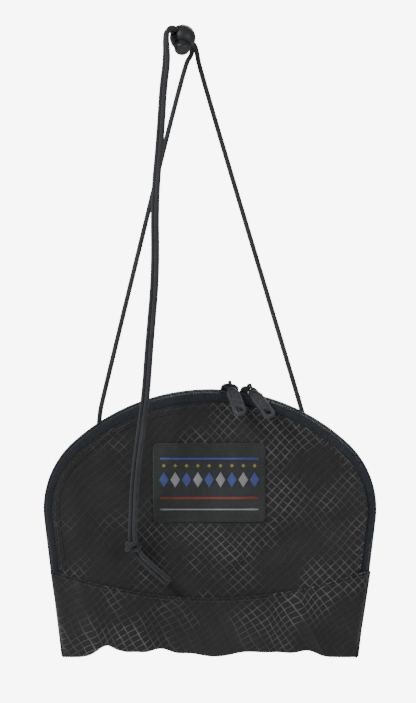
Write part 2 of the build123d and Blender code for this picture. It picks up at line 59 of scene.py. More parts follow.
# ---- Front panel ---------------------------------------------------------------------------
# Thin black ripstop nylon, cut as a flat arch on two rounded shoulders with sides that lean in.
# Its edge is turned under beside the zip's ridge, and its bottom edge runs on behind the strip.
TOP_RADIUS = 108.1 * MM
SHOULDER_RADIUS = 47.7 * MM
TOP_HALF_ANGLE = radians(42.6)
SIDE_LEAN = radians(7.0)
SIDE_ANGLE = pi / 2 + SIDE_LEAN
TOP_STEPS = 180
SHOULDER_STEPS = 120
SIDE_STEPS = 60

back_tape_low, back_tape_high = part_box("zipper_tape_back")
strip_low, strip_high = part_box("lower_front_panel")
POUCH_X = (back_tape_low.x + back_tape_high.x) / 2
TOP_CENTRE = Vector((POUCH_X, 0, back_tape_high.z - TOP_RADIUS))
SHOULDER_X = (TOP_RADIUS - SHOULDER_RADIUS) * sin(TOP_HALF_ANGLE)
SHOULDER_Z = TOP_CENTRE.z + (TOP_RADIUS - SHOULDER_RADIUS) * cos(TOP_HALF_ANGLE)
SIDE_START_X = SHOULDER_X + SHOULDER_RADIUS * sin(SIDE_ANGLE)
SIDE_START_Z = SHOULDER_Z + SHOULDER_RADIUS * cos(SIDE_ANGLE)


def side_reach(z):
    """Half the pouch's width where its sides are straight, at this height."""
    return SIDE_START_X - (SIDE_START_Z - z) * tan(SIDE_LEAN)


def right_half(inset, low_z):
    """The right half of the crest from its middle down, as angles and radii of its outward line."""
    line = []
    for angle in np.linspace(0, TOP_HALF_ANGLE, TOP_STEPS, endpoint=False):
        line.append((TOP_CENTRE, TOP_RADIUS - inset, angle))
    shoulder = Vector((POUCH_X + SHOULDER_X, 0, SHOULDER_Z))
    for angle in np.linspace(TOP_HALF_ANGLE, SIDE_ANGLE, SHOULDER_STEPS):
        line.append((shoulder, SHOULDER_RADIUS - inset, angle))
    points = []
    for centre, radius, angle in line:
        outward = Vector((sin(angle), 0, cos(angle)))
        points.append((centre + outward * radius, outward))
    end, outward = points[-1]
    down = Vector((-sin(SIDE_LEAN), 0, -cos(SIDE_LEAN)))
    length = (end.z - low_z) / cos(SIDE_LEAN)
    for share in np.linspace(0, 1, SIDE_STEPS)[1:]:
        points.append((end + down * length * share, outward))
    return points


def crest(inset, low_z, step):
    """Points at even steps along the zip's crest, moved inwards, each with its outward line.
    They start low on the left, go over the top and end low on the right."""
    right = right_half(inset, low_z)

    def mirrored(vector, centre=0.0):
        return Vector((2 * centre - vector.x, 0, vector.z))

    left = [(mirrored(point, POUCH_X), mirrored(out)) for point, out in reversed(right[1:])]
    line = left + right
    places = np.array([[point.x, point.z, out.x, out.z] for point, out in line])
    walked = np.concatenate([[0], np.cumsum(np.hypot(*np.diff(places[:, :2], axis=0).T))])
    stops = np.linspace(0, walked[-1], round(walked[-1] / step) + 1)
    even = np.stack([np.interp(stops, walked, column) for column in places.T], axis=1)
    return [(Vector((x, 0, z)), Vector((u, 0, v)).normalized()) for x, z, u, v in even]


def inset_of(x, z):
    """How far inside the crest each point of two arrays lies."""
    across = np.abs(x - POUCH_X)
    on_top = np.arctan2(across, z - TOP_CENTRE.z) < TOP_HALF_ANGLE
    beside = across - SHOULDER_X
    above = z - SHOULDER_Z
    on_side = np.arctan2(beside, above) > SIDE_ANGLE
    from_top = TOP_RADIUS - np.hypot(across, z - TOP_CENTRE.z)
    from_shoulder = SHOULDER_RADIUS - np.hypot(beside, above)
    from_side = SHOULDER_RADIUS - beside * sin(SIDE_ANGLE) - above * cos(SIDE_ANGLE)
    return np.where(on_top, from_top, np.where(on_side, from_side, from_shoulder))


def ease(value):
    """0 below 0, 1 above 1, and a smooth rise between."""
    held = np.clip(value, 0, 1)
    return held * held * (3 - 2 * held)


FABRIC_THICK = 0.5 * MM
CLOTH_UNEVEN = 0.5 * MM
HEM_INSET = 5.4 * MM
HEM_TOP_DROP = 2.0 * MM
HEM_WIDTH = 3.6 * MM
EDGE_STEP = 1.5 * MM
TUCK = 3.0 * MM
SEAM_SIDE_Z = strip_high.z
SEAM_LOW_Z = -286.0 * MM
SEAM_LOW_X = POUCH_X + 3.0 * MM
FRONT_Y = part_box("front_panel")[0].y
label_low, label_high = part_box("woven_label")
label_middle = (label_low + label_high) / 2
label_half = (label_high - label_low) / 2

seam_reach = side_reach(SEAM_SIDE_Z)
SEAM_CURVE = np.polyfit(
    [POUCH_X - seam_reach, SEAM_LOW_X, POUCH_X + seam_reach],
    [SEAM_SIDE_Z, SEAM_LOW_Z, SEAM_SIDE_Z],
    2,
)

# Folds in the cloth: one end, the other end, half width and height, in millimetres.
FRONT_FOLDS = [
    ((-19, -190), (3, -203), 5.0, -0.9),
    ((-6, -186), (12, -200), 5.5, 0.8),
    ((32, -187), (62, -207), 6.5, -1.0),
    ((44, -183), (80, -214), 6.0, 0.9),
    ((38, -246), (86, -233), 7.0, 1.2),
    ((40, -258), (92, -244), 6.0, -0.9),
    ((50, -268), (92, -256), 6.0, 0.9),
    ((-73, -221), (-63, -258), 5.5, 0.9),
    ((-62, -216), (-36, -262), 7.0, -1.1),
    ((-52, -204), (-24, -246), 7.5, 1.0),
    ((-20, -256), (10, -280), 7.0, -0.8),
    ((20, -252), (34, -282), 7.0, 0.9),
]


def folds_at(x, z, folds):
    """The height of all folds at each point of two arrays."""
    total = np.zeros_like(x)
    for start, end, reach, height in folds:
        start = np.array(start) * MM
        run = np.array(end) * MM - start
        along = ((x - start[0]) * run[0] + (z - start[1]) * run[1]) / (run @ run)
        held = np.clip(along, 0, 1)
        off = np.hypot(x - start[0] - held * run[0], z - start[1] - held * run[1])
        total += height * MM * np.exp(-((off / (reach * MM)) ** 2))
    return total


def crumple(x, z, scale, height, seed):
    """Small soft unevenness of thin cloth at each point of two arrays."""
    heights = [
        noise.fractal(Vector((px / scale, pz / scale, seed)), 0.9, 2.1, 3)
        for px, pz in zip(x.ravel(), z.ravel())
    ]
    return height * np.array(heights).reshape(x.shape)


def seam_z(x):
    """The height of the curved seam between the front panel and the strip."""
    return np.polyval(SEAM_CURVE, x)


def hem_line(inset, low_z, step):
    """Points inside the crest that drop further from it over the top of the pouch."""
    for point, outward in crest(inset, low_z, step):
        yield point - outward * HEM_TOP_DROP * max(outward.z, 0) ** 2, outward


def front_y(x, z):
    """The front panel's outer face: slack cloth, held flat at its seams and under the label."""
    held = ease((inset_of(x, z) - HEM_INSET - HEM_WIDTH) / (11 * MM))
    held = held * ease((z - seam_z(x)) / (10 * MM))
    beyond = np.maximum(
        np.abs(x - label_middle.x) - label_half.x, np.abs(z - label_middle.z) - label_half.z
    )
    free = 0.25 + 0.75 * ease((beyond + 3 * MM) / (9 * MM))
    slack = 0.5 * MM + folds_at(x, z, FRONT_FOLDS) + crumple(x, z, 26 * MM, CLOTH_UNEVEN, 1.0)
    return FRONT_Y - held * free * slack


def mesh_piece(name, points, faces, surface, facing=None, uvs=None, sharp=40):
    """A mesh object with its material. Uvs are one (u, v) for each corner, in metres."""
    mesh = bpy.data.meshes.new(name)
    mesh.from_pydata([tuple(point) for point in points], [], faces)
    if uvs is not None:
        layer = mesh.uv_layers.new(name="lay")
        layer.data.foreach_set("uv", np.array(uvs, np.float32).ravel())
    mesh.update()
    if facing is not None:
        lean = sum((face.normal * face.area for face in mesh.polygons), Vector())
        if lean.dot(facing) < 0:
            mesh.flip_normals()
    mesh.polygons.foreach_set("use_smooth", [True] * len(mesh.polygons))
    mesh.set_sharp_from_angle(angle=radians(sharp))
    mesh.materials.append(surface)
    piece = bpy.data.objects.new(name, mesh)
    bpy.context.scene.collection.objects.link(piece)
    return piece


def grid_faces(rows, columns, wrap=False):
    """Quads of a grid whose points are stored row by row. Wrap closes each row on itself."""
    faces = []
    for row in range(rows - 1):
        for column in range(columns if wrap else columns - 1):
            following = (column + 1) % columns
            start = row * columns
            faces.append(
                (
                    start + column,
                    start + following,
                    start + columns + following,
                    start + columns + column,
                )
            )
    return faces


def cut_panel(name, edge, middle, height_at, surface, facing, rings=60):
    """A panel with this edge line, given as x and z, laid on a face given by its height_at."""
    edge = np.array(edge)
    middle = np.array(middle)
    shares = np.linspace(0, 1, rings + 1)[1:]
    spread = middle + (edge - middle)[None, :, :] * shares[:, None, None]
    x = spread[:, :, 0].ravel()
    z = spread[:, :, 1].ravel()
    y = height_at(x, z)
    faces = [tuple(reversed(range(len(edge))))] + grid_faces(rings, len(edge), wrap=True)
    return mesh_piece(name, np.stack([x, y, z], axis=1), faces, surface, facing)


def thicken(piece, thickness, side=-1.0):
    """Gives a sheet its thickness, behind its outer face."""
    solid = piece.modifiers.new("thickness", "SOLIDIFY")
    solid.thickness = thickness
    solid.offset = side
    return piece


def sew_in(piece, body, slot, *replaced):
    """The piece rides on its body and takes the place of the plain solids."""
    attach(piece, body)
    if replaced:
        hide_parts(*replaced)
    return piece


def put(tree, kind, inputs=None, **settings):
    """A shader node. Each input is a plain value, or the socket that feeds it."""
    made = tree.nodes.new(kind)
    for setting, value in settings.items():
        setattr(made, setting, value)
    for socket, value in (inputs or {}).items():
        if isinstance(value, bpy.types.NodeSocket):
            tree.links.new(value, made.inputs[socket])
        else:
            made.inputs[socket].default_value = value
    return made


def maths(tree, operation, *values):
    """The result of a sum in shader nodes."""
    return put(tree, "ShaderNodeMath", dict(enumerate(values)), operation=operation).outputs[0]


def ranged(tree, value, low, high, to_low, to_high):
    """A value carried smoothly from one range to another."""
    inputs = {0: value, 1: low, 2: high, 3: to_low, 4: to_high}
    return put(tree, "ShaderNodeMapRange", inputs, interpolation_type="SMOOTHSTEP").outputs[0]


def mixed(tree, share, first, second):
    """A colour between two others."""
    inputs = {0: share, 6: first, 7: second}
    return put(tree, "ShaderNodeMix", inputs, data_type="RGBA").outputs[2]


def effect(name, inputs, outputs):
    """An empty shader group. Inputs are names with their values, outputs names with kinds."""
    tree = bpy.data.node_groups.new(name, "ShaderNodeTree")
    kinds = {float: "NodeSocketFloat", tuple: "NodeSocketColor", Vector: "NodeSocketVector"}
    for label, value in inputs.items():
        socket = tree.interface.new_socket(label, in_out="INPUT", socket_type=kinds[type(value)])
        socket.default_value = value
    for label, kind in outputs.items():
        tree.interface.new_socket(label, in_out="OUTPUT", socket_type=kinds[kind])
    return tree, tree.nodes.new("NodeGroupInput"), tree.nodes.new("NodeGroupOutput")


def use(tree, group, **inputs):
    """Places a shader group in a material; an underscore in an input's name is a space."""
    made = put(tree, "ShaderNodeGroup", node_tree=group)
    for label, value in inputs.items():
        socket = made.inputs[label.replace("_", " ")]
        if isinstance(value, bpy.types.NodeSocket):
            tree.links.new(value, socket)
        else:
            socket.default_value = value
    return made


def plain_weave_effect():
    """Over-and-under threads of a plain weave. Height runs from 0 to 1, tone differs by thread."""
    tree, given, result = effect(
        "plain weave",
        {"Across": 0.0, "Along": 0.0, "Thread": 0.0004},
        {"Height": float, "Tone": float},
    )
    across = maths(tree, "DIVIDE", given.outputs["Across"], given.outputs["Thread"])
    along = maths(tree, "DIVIDE", given.outputs["Along"], given.outputs["Thread"])
    lift_across = maths(tree, "ABSOLUTE", maths(tree, "SINE", maths(tree, "MULTIPLY", across, pi)))
    lift_along = maths(tree, "ABSOLUTE", maths(tree, "SINE", maths(tree, "MULTIPLY", along, pi)))
    count = maths(tree, "ADD", maths(tree, "FLOOR", across), maths(tree, "FLOOR", along))
    over = maths(tree, "MULTIPLY", maths(tree, "FRACT", maths(tree, "MULTIPLY", count, 0.5)), 2.0)
    under = maths(tree, "SUBTRACT", 1.0, over)
    height = maths(
        tree,
        "ADD",
        maths(tree, "MULTIPLY", lift_across, over),
        maths(tree, "MULTIPLY", lift_along, under),
    )
    pick = put(tree, "ShaderNodeCombineXYZ", {0: maths(tree, "FLOOR", across), 1: over})
    shade = put(tree, "ShaderNodeTexWhiteNoise", {"Vector": pick.outputs[0]})
    tree.links.new(height, result.inputs["Height"])
    tree.links.new(shade.outputs["Value"], result.inputs["Tone"])
    return tree


def handling_effect():
    """Uneven wear of a used surface: a broad mottle and a finer one, from 0 to 1."""
    tree, given, result = effect(
        "handling",
        {"Place": Vector(), "Broad": 0.03, "Fine": 0.003},
        {"Mottle": float, "Speckle": float},
    )
    for size, output in (("Broad", "Mottle"), ("Fine", "Speckle")):
        scale = maths(tree, "DIVIDE", 1.0, given.outputs[size])
        spots = put(
            tree,
            "ShaderNodeTexNoise",
            {"Vector": given.outputs["Place"], "Scale": scale, "Detail": 4.0, "Roughness": 0.6},
        )
        value = ranged(tree, spots.outputs[0], 0.3, 0.7, 0.0, 1.0)
        tree.links.new(value, result.inputs[output])
    return tree


PLAIN_WEAVE = plain_weave_effect()
HANDLING = handling_effect()


def new_material(name, **constants):
    """A material whose Principled shader has these plain values."""
    made = bpy.data.materials.new(name)
    made.use_nodes = True
    tree = made.node_tree
    shader = tree.nodes["Principled BSDF"]
    for label, value in constants.items():
        shader.inputs[label.replace("_", " ")].default_value = value
    place = put(tree, "ShaderNodeTexCoord").outputs["Object"]
    return made, tree, shader, place


def finish_material(tree, shader, colour, roughness, height, relief):
    """Connects colour, roughness and bump. Relief is the bump's real height in metres."""
    bump = put(tree, "ShaderNodeBump", {"Strength": 1.0, "Distance": relief, "Height": height})
    tree.links.new(colour, shader.inputs["Base Color"])
    tree.links.new(roughness, shader.inputs["Roughness"])
    tree.links.new(bump.outputs[0], shader.inputs["Normal"])


RIPSTOP_DARK = (0.0055, 0.0055, 0.0058, 1)
RIPSTOP_BLOOM = (0.0120, 0.0120, 0.0125, 1)
# The lighter colour that the grid threads show in patches: a painted glint.
RIPSTOP_THREAD_GLINT = (0.085, 0.085, 0.090, 1)
RIPSTOP_CELL = 3.6 * MM
RIPSTOP_LINE = 0.26 * MM
RIPSTOP_YARN = 0.26 * MM
GRID_TURN = radians(45)
GRID_DRIFT = 4.0 * MM


def ripstop(name, turn, drift, seed):
    """Black ripstop. Turn is the grid's angle, and drift how far the cloth pulls it out of line. Its grid
    threads carry a painted glint in patches.
    """
    made, tree, shader, place = new_material(
        name, Specular_IOR_Level=0.22, Sheen_Weight=0.12, Sheen_Roughness=0.45
    )
    pull = put(
        tree,
        "ShaderNodeTexNoise",
        {"Vector": place, "Scale": 26.0, "Detail": 1.0, "W": seed},
        noise_dimensions="4D",
    )
    centred = put(
        tree, "ShaderNodeVectorMath", {0: pull.outputs[1], 1: (0.5, 0.5, 0.5)}, operation="SUBTRACT"
    )
    moved = put(
        tree,
        "ShaderNodeVectorMath",
        {0: centred.outputs[0], 1: (drift, drift, drift), 2: place},
        operation="MULTIPLY_ADD",
    )
    axes = put(tree, "ShaderNodeSeparateXYZ", {0: moved.outputs[0]})
    flat_x = maths(tree, "ADD", axes.outputs["X"], axes.outputs["Y"])
    threads = []
    for angle in (turn, turn + pi / 2):
        run = maths(
            tree,
            "ADD",
            maths(tree, "MULTIPLY", flat_x, cos(angle)),
            maths(tree, "MULTIPLY", axes.outputs["Z"], sin(angle)),
        )
        threads.append(run)
    lines = []
    for run in threads:
        cell = maths(tree, "FRACT", maths(tree, "DIVIDE", run, RIPSTOP_CELL))
        off = maths(tree, "ABSOLUTE", maths(tree, "SUBTRACT", cell, 0.5))
        edge = RIPSTOP_LINE / RIPSTOP_CELL
        lines.append(ranged(tree, off, edge * 0.5, edge * 1.15, 1.0, 0.0))
    grid = maths(tree, "MAXIMUM", lines[0], lines[1])
    weave = use(tree, PLAIN_WEAVE, Across=threads[0], Along=threads[1], Thread=RIPSTOP_YARN)
    wear = use(tree, HANDLING, Place=place, Broad=0.045, Fine=0.004)
    # Noise patches where the grid threads are painted lighter: a painted glint where they catch the
    # light, broken up by the fine speckle.
    lit = put(
        tree,
        "ShaderNodeTexNoise",
        {"Vector": place, "Scale": 30.0, "Detail": 2.0, "W": seed + 3.0},
        noise_dimensions="4D",
    )
    glint_patch = ranged(tree, lit.outputs[0], 0.43, 0.62, 0.05, 1.0)
    broken = ranged(tree, wear.outputs["Speckle"], 0.1, 0.9, 0.5, 1.0)
    painted_glint = maths(tree, "MULTIPLY", maths(tree, "MULTIPLY", grid, glint_patch), broken)
    cloth = mixed(tree, wear.outputs["Mottle"], RIPSTOP_DARK, RIPSTOP_BLOOM)
    cloth = mixed(tree, maths(tree, "MULTIPLY", weave.outputs["Tone"], 0.3), cloth, RIPSTOP_BLOOM)
    colour = mixed(tree, painted_glint, cloth, RIPSTOP_THREAD_GLINT)
    roughness = ranged(tree, grid, 0.0, 1.0, 0.62, 0.42)
    height = maths(tree, "MULTIPLY_ADD", weave.outputs["Height"], 0.35, grid)
    finish_material(tree, shader, colour, roughness, height, 0.09 * MM)
    return made


front_cloth = ripstop("ripstop front", GRID_TURN, GRID_DRIFT, 1.0)

front_edge = [(p.x, p.z) for p, _ in hem_line(HEM_INSET, SEAM_SIDE_Z - TUCK, EDGE_STEP)]
low_reach = side_reach(SEAM_SIDE_Z - TUCK) - HEM_INSET
for x in np.linspace(POUCH_X + low_reach, POUCH_X - low_reach, 110)[1:-1]:
    front_edge.append((x, seam_z(x) - TUCK))
front_panel = cut_panel(
    "front_panel_cloth", front_edge, (POUCH_X, -236 * MM), front_y, front_cloth, FORWARD
)
thicken(front_panel, FABRIC_THICK)
sew_in(front_panel, "pouch", "ripstop", "front_panel")


def sweep(name, stations, section, surface, closed=False, sharp=40):
    """A closed section carried along stations, each an origin with the section's two lines."""
    section = np.array(section)
    origins = np.array([list(origin) for origin, _, _ in stations])
    first = np.array([list(line) for _, line, _ in stations])
    second = np.array([list(line) for _, _, line in stations])
    points = (
        origins[:, None, :]
        + first[:, None, :] * section[None, :, 0, None]
        + second[:, None, :] * section[None, :, 1, None]
    )
    rows, columns = points.shape[:2]
    along = np.concatenate([[0], np.cumsum(np.linalg.norm(np.diff(origins, axis=0), axis=1))])
    looped = np.vstack([section, section[:1]])
    around = np.concatenate([[0], np.cumsum(np.linalg.norm(np.diff(looped, axis=0), axis=1))])
    faces = grid_faces(rows, columns, wrap=True)
    uvs = []
    for row in range(rows - 1):
        for column in range(columns):
            for step_row, step_column in ((0, 0), (0, 1), (1, 1), (1, 0)):
                uvs.append((along[row + step_row], around[column + step_column]))
    if closed:
        last = (rows - 1) * columns
        length = along[-1] + np.linalg.norm(origins[0] - origins[-1])
        for column in range(columns):
            following = (column + 1) % columns
            faces.append((last + column, last + following, following, column))
            ends = ((along[-1], 0), (along[-1], 1), (length, 1), (length, 0))
            uvs.extend((place, around[column + shift]) for place, shift in ends)
    else:
        for row, order in ((0, -1), (rows - 1, 1)):
            start = row * columns
            faces.append(tuple(range(start, start + columns))[::order])
            flat = [(along[row] + section[i, 0], section[i, 1]) for i in range(columns)]
            uvs.extend(flat[::order])
    piece = mesh_piece(name, points.reshape(-1, 3), faces, surface, uvs=uvs, sharp=sharp)
    turned_out(piece)
    return piece


def turned_out(piece):
    """Turns a closed mesh's faces outwards."""
    volume = 0.0
    for face in piece.data.polygons:
        corners = [piece.data.vertices[index].co for index in face.vertices]
        for second, third in zip(corners[1:], corners[2:]):
            volume += corners[0].dot(second.cross(third))
    if volume < 0:
        piece.data.flip_normals()


def oblong(half_x, half_y):
    """The corners of an upright rectangle about its middle."""
    return [(-half_x, -half_y), (half_x, -half_y), (half_x, half_y), (-half_x, half_y)]


def rounded(corners, radius, steps=4):
    """A closed outline with its corners rounded."""
    outline = []
    count = len(corners)
    for index in range(count):
        before = Vector(corners[index - 1])
        here = Vector(corners[index])
        after = Vector(corners[(index + 1) % count])
        room = min((before - here).length, (after - here).length) * 0.45
        reach = min(radius, room)
        start = here + (before - here).normalized() * reach
        end = here + (after - here).normalized() * reach
        for share in np.linspace(0, 1, steps + 1):
            outline.append(
                tuple(start * (1 - share) ** 2 + here * 2 * share * (1 - share) + end * share**2)
            )
    return outline


def hem(name, low_z, face_y, facing, surface):
    """The turned edge of a panel along the zip: a second layer of cloth, pressed flat."""
    stations = []
    for point, outward in hem_line(0, low_z, EDGE_STEP):
        origin = Vector((point.x, face_y, point.z))
        stations.append((origin, outward, facing))
    outer = -HEM_INSET + 0.15 * MM
    inner = -HEM_INSET - HEM_WIDTH
    corners = [
        (inner, -0.3 * MM),
        (outer, -0.55 * MM),
        (outer, 0.30 * MM),
        (inner, 0.32 * MM),
    ]
    return sweep(name, stations, rounded(corners, 0.28 * MM), surface)


front_hem = hem("front_panel_hem", SEAM_SIDE_Z - 1 * MM, FRONT_Y, FORWARD, front_cloth)
sew_in(front_hem, "pouch", "ripstop")


# ---- Lower strip ---------------------------------------------------------------------------
# A strip of the same ripstop, sewn on along a curved seam. It is gathered along the bottom, where
# it slopes back to the back panel, and its sides turn back to it too.
BOTTOM_Z = strip_low.z
STRIP_Y = strip_low.y
BACK_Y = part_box("back_panel")[1].y
BOTTOM_LIP = 1.8 * MM
STRIP_CORNER = 4.6 * MM
SIDE_SEAM_LAYER = 0.55 * MM
STRIP_FOLDS = [
    ((-47, -316), (-57, -281), 4.5, 1.6),
    ((-39, -316), (-44, -284), 4.0, -1.2),
    ((-70, -304), (-44, -282), 5.0, 0.9),
    ((-21, -316), (-31, -286), 4.5, 1.4),
    ((-12, -316), (-16, -289), 4.0, -1.1),
    ((8, -318), (-4, -290), 5.0, 1.0),
    ((26, -316), (12, -290), 4.5, -1.0),
    ((38, -317), (42, -290), 5.0, 1.2),
    ((62, -314), (46, -288), 5.0, -1.3),
    ((70, -316), (58, -286), 4.0, 1.5),
    ((84, -310), (66, -284), 5.0, -0.9),
]
# Where gathering draws the bottom edge up: x, half width and height, in millimetres.
BOTTOM_LIFTS = [
    (-46, 8, 6.2),
    (-31, 7, 2.4),
    (-17, 8, 4.4),
    (-1, 9, 2.0),
    (31, 11, 2.7),
    (49, 11, 2.5),
    (65, 7, 3.2),
]


def bottom_edge(x):
    """The height of the wavy bottom seam."""
    edge = np.full_like(x, BOTTOM_Z + 0.3 * MM)
    for centre, reach, height in BOTTOM_LIFTS:
        edge += height * MM * np.exp(-(((x / MM - centre) / reach) ** 2))
    return edge


def bottom_at(x):
    """The bottom seam's height at one place."""
    return float(bottom_edge(np.array([x]))[0])


def strip_y(x, z):
    """The lower strip's outer face, which slopes back to the bottom seam."""
    drop = (seam_z(x) - z) / (seam_z(x) - BOTTOM_Z)
    slope = ease((drop - 0.08) / 1.15)
    face = STRIP_Y + (BACK_Y - BOTTOM_LIP - STRIP_Y) * slope
    gather = 0.3 * MM * np.sin((x + 0.2 * z) / (1.15 * MM)) * np.exp(-drop * 9)
    gather += 0.4 * MM * np.sin(x / (1.6 * MM)) * ease((drop - 0.75) / 0.25)
    held = ease(drop / 0.12) * (1 - 0.6 * ease((drop - 0.8) / 0.2))
    slack = folds_at(x, z, STRIP_FOLDS) + crumple(x, z, 17 * MM, CLOTH_UNEVEN, 4.0)
    return face - gather - held * slack


def strip_surface():
    """The lower strip from its left back edge, across the front, to its right back edge."""
    rows = 46
    across = np.linspace(-1, 1, 260)
    grid = []
    for drop in np.linspace(0, 1, rows):
        nominal = POUCH_X + across * side_reach((SEAM_SIDE_Z + BOTTOM_Z) / 2)
        top = seam_z(nominal)
        z = top + (bottom_edge(nominal) - top) * drop
        reach = side_reach(z) - 0.3 * MM - 0.9 * MM * drop
        x = POUCH_X + across * reach
        y = strip_y(x, z)
        turn = np.clip((np.abs(across) * reach - reach) / STRIP_CORNER + 1, 0, 1)
        y = y + STRIP_CORNER * 0.85 * (1 - np.sqrt(1 - turn**2))
        row = list(zip(x, y, z))
        for share in (0.25, 0.5, 0.75, 1.0):
            for end in (0, -1):
                edge_y = y[end] + (BACK_Y - SIDE_SEAM_LAYER - y[end]) * share
                row.insert(end, (x[end], edge_y, z[end]))
        grid.append(row)
    for lift, toward in ((0.35 * MM, 0.5), (0.2 * MM, 1.0)):
        last = grid[rows - 1]
        grid.append([(x, y + (BACK_Y - 0.6 * MM - y) * toward, z - lift) for x, y, z in last])
    return grid


strip_cloth = ripstop("ripstop lower strip", radians(41), 5.5 * MM, 5.0)
strip_grid = strip_surface()
strip_points = [point for row in strip_grid for point in row]
lower_strip = mesh_piece(
    "lower_strip_cloth",
    strip_points,
    grid_faces(len(strip_grid), len(strip_grid[0])),
    strip_cloth,
    FORWARD,
)
thicken(lower_strip, FABRIC_THICK)
sew_in(lower_strip, "pouch", "ripstop", "lower_front_panel")


# ---- Back panel ----------------------------------------------------------------------------
# The pouch's back, one piece of ripstop. Beside the zip its edge is turned under like the front's,
# and below that it is as wide as the pouch and sewn to the strip along the sides and bottom.
SIDE_STEP = 3.0 * MM
EDGE_INSET = 0.3 * MM
BACK_FOLDS = [
    ((-40, -200), (-10, -270), 8.0, 1.0),
    ((-52, -206), (-66, -262), 7.0, -0.8),
    ((20, -196), (2, -280), 9.0, -0.9),
    ((66, -204), (40, -290), 8.0, 1.0),
    ((84, -230), (60, -306), 7.0, -0.8),
    ((-30, -310), (40, -296), 7.0, 0.7),
]


def back_y(x, z):
    """The back panel's outer face."""
    held = ease((inset_of(x, z) - HEM_INSET - HEM_WIDTH) / (14 * MM))
    held = held * ease((z - BOTTOM_Z) / (16 * MM))
    slack = 0.3 * MM + folds_at(x, z, BACK_FOLDS) + crumple(x, z, 28 * MM, CLOTH_UNEVEN, 7.0)
    return BACK_Y + held * slack


back_cloth = ripstop("ripstop back", GRID_TURN, GRID_DRIFT, 9.0)
low_sides = [
    point
    for point, _ in crest(EDGE_INSET, BOTTOM_Z + EDGE_INSET, EDGE_STEP)
    if point.z < SEAM_SIDE_Z - SIDE_STEP
]
back_edge = [(p.x, p.z) for p in low_sides if p.x < POUCH_X]
back_edge += [(p.x, p.z) for p, _ in hem_line(HEM_INSET, SEAM_SIDE_Z + SIDE_STEP, EDGE_STEP)]
back_edge += [(p.x, p.z) for p in low_sides if p.x > POUCH_X]
bottom_reach = side_reach(BOTTOM_Z) - EDGE_INSET
bottom_x = np.linspace(POUCH_X + bottom_reach, POUCH_X - bottom_reach, 150)[1:-1]
back_edge += list(zip(bottom_x, bottom_edge(bottom_x)))
back_edge = [(x, max(z, bottom_at(x))) for x, z in back_edge]
back_panel = cut_panel(
    "back_panel_cloth", back_edge, (POUCH_X, -240 * MM), back_y, back_cloth, -FORWARD
)
thicken(back_panel, FABRIC_THICK)
sew_in(back_panel, "pouch", "ripstop", "back_panel")
back_hem = hem("back_panel_hem", SEAM_SIDE_Z + 1 * MM, BACK_Y, -FORWARD, back_cloth)
sew_in(back_hem, "pouch", "ripstop")


# ---- Seam binding --------------------------------------------------------------------------
# A ribbed nylon tape, sewn inside the pouch over the raw edges of the bottom and side seams. It
# follows the gathered bottom seam, so it can be seen only with the pouch open.
BINDING_HALF_WIDTH = 2.5 * MM
BINDING_HALF_THICK = 0.3 * MM
BINDING_INSET = 5.5 * MM
BINDING_TURN = 4.0 * MM
BINDING_TOP_Z = SEAM_SIDE_Z - 8 * MM


def ribbed_tape(name, dark, light, rib, sheen):
    """A narrow woven tape with ribs across it and a fine plain weave."""
    made, tree, shader, place = new_material(
        name, Specular_IOR_Level=0.25, Sheen_Weight=sheen, Sheen_Roughness=0.4
    )
    lay = put(tree, "ShaderNodeUVMap", uv_map="lay").outputs[0]
    axes = put(tree, "ShaderNodeSeparateXYZ", {0: lay})
    along, across = axes.outputs["X"], axes.outputs["Y"]
    wave = maths(tree, "SINE", maths(tree, "MULTIPLY", along, 2 * pi / rib))
    ribs = ranged(tree, wave, -1.0, 1.0, 0.0, 1.0)
    weave = use(tree, PLAIN_WEAVE, Across=along, Along=across, Thread=0.3 * MM)
    wear = use(tree, HANDLING, Place=place, Broad=0.02, Fine=0.0022)
    shade = maths(tree, "MULTIPLY_ADD", weave.outputs["Height"], 0.35, wear.outputs["Mottle"])
    shade = maths(tree, "MULTIPLY_ADD", ribs, 0.3, shade)
    colour = mixed(tree, maths(tree, "MULTIPLY", shade, 0.55), dark, light)
    roughness = ranged(tree, wear.outputs["Speckle"], 0.0, 1.0, 0.5, 0.68)
    height = maths(tree, "MULTIPLY_ADD", weave.outputs["Height"], 0.5, ribs)
    finish_material(tree, shader, colour, roughness, height, 0.10 * MM)
    return made


def binding_stations():
    """Down the left seam, along the bottom and up the right seam."""
    stations = []
    inward_out = -FORWARD
    place_y = BACK_Y - FABRIC_THICK - 2 * BINDING_HALF_THICK
    down_z = np.linspace(BINDING_TOP_Z, BOTTOM_Z + 12 * MM, 12)
    reach = side_reach(BOTTOM_Z) - BINDING_INSET - BINDING_TURN
    for z in down_z:
        x = POUCH_X - side_reach(z) + BINDING_INSET
        stations.append((Vector((x, place_y, z)), Vector((1, 0, 0)), inward_out))
    for x in np.linspace(POUCH_X - reach, POUCH_X + reach, 120):
        z = bottom_at(x) + BINDING_INSET
        stations.append((Vector((x, place_y, z)), Vector((0, 0, 1)), inward_out))
    for z in reversed(down_z):
        x = POUCH_X + side_reach(z) - BINDING_INSET
        stations.append((Vector((x, place_y, z)), Vector((-1, 0, 0)), inward_out))
    return stations


binding_cloth = ribbed_tape(
    "binding tape", (0.010, 0.010, 0.011, 1), (0.026, 0.026, 0.028, 1), 1.0 * MM, 0.1
)
binding_section = rounded(oblong(BINDING_HALF_WIDTH, BINDING_HALF_THICK), 0.2 * MM)
binding = sweep("seam_binding_tape", binding_stations(), binding_section, binding_cloth)
sew_in(binding, "pouch", "binding", "seam_binding")


# ---- Zip -----------------------------------------------------------------------------------
# A coil zip sewn in face down: two woven tapes outside, and a nylon coil stitched behind each.
# The chain is rolled a little forward at the ridge, and its ends are held by bar tacks.
CHAIN_DEPTH = 1.65 * MM
ZIP_TILT = radians(15)
TAPE = 0.5 * MM
TAPE_SLIT = 1.4 * MM
TAPE_DEPTH = 9.5 * MM
TAPE_ROUNDING = 0.6 * MM
TAPE_RUN_ON = 6.0 * MM
COIL_PITCH = 1.5 * MM
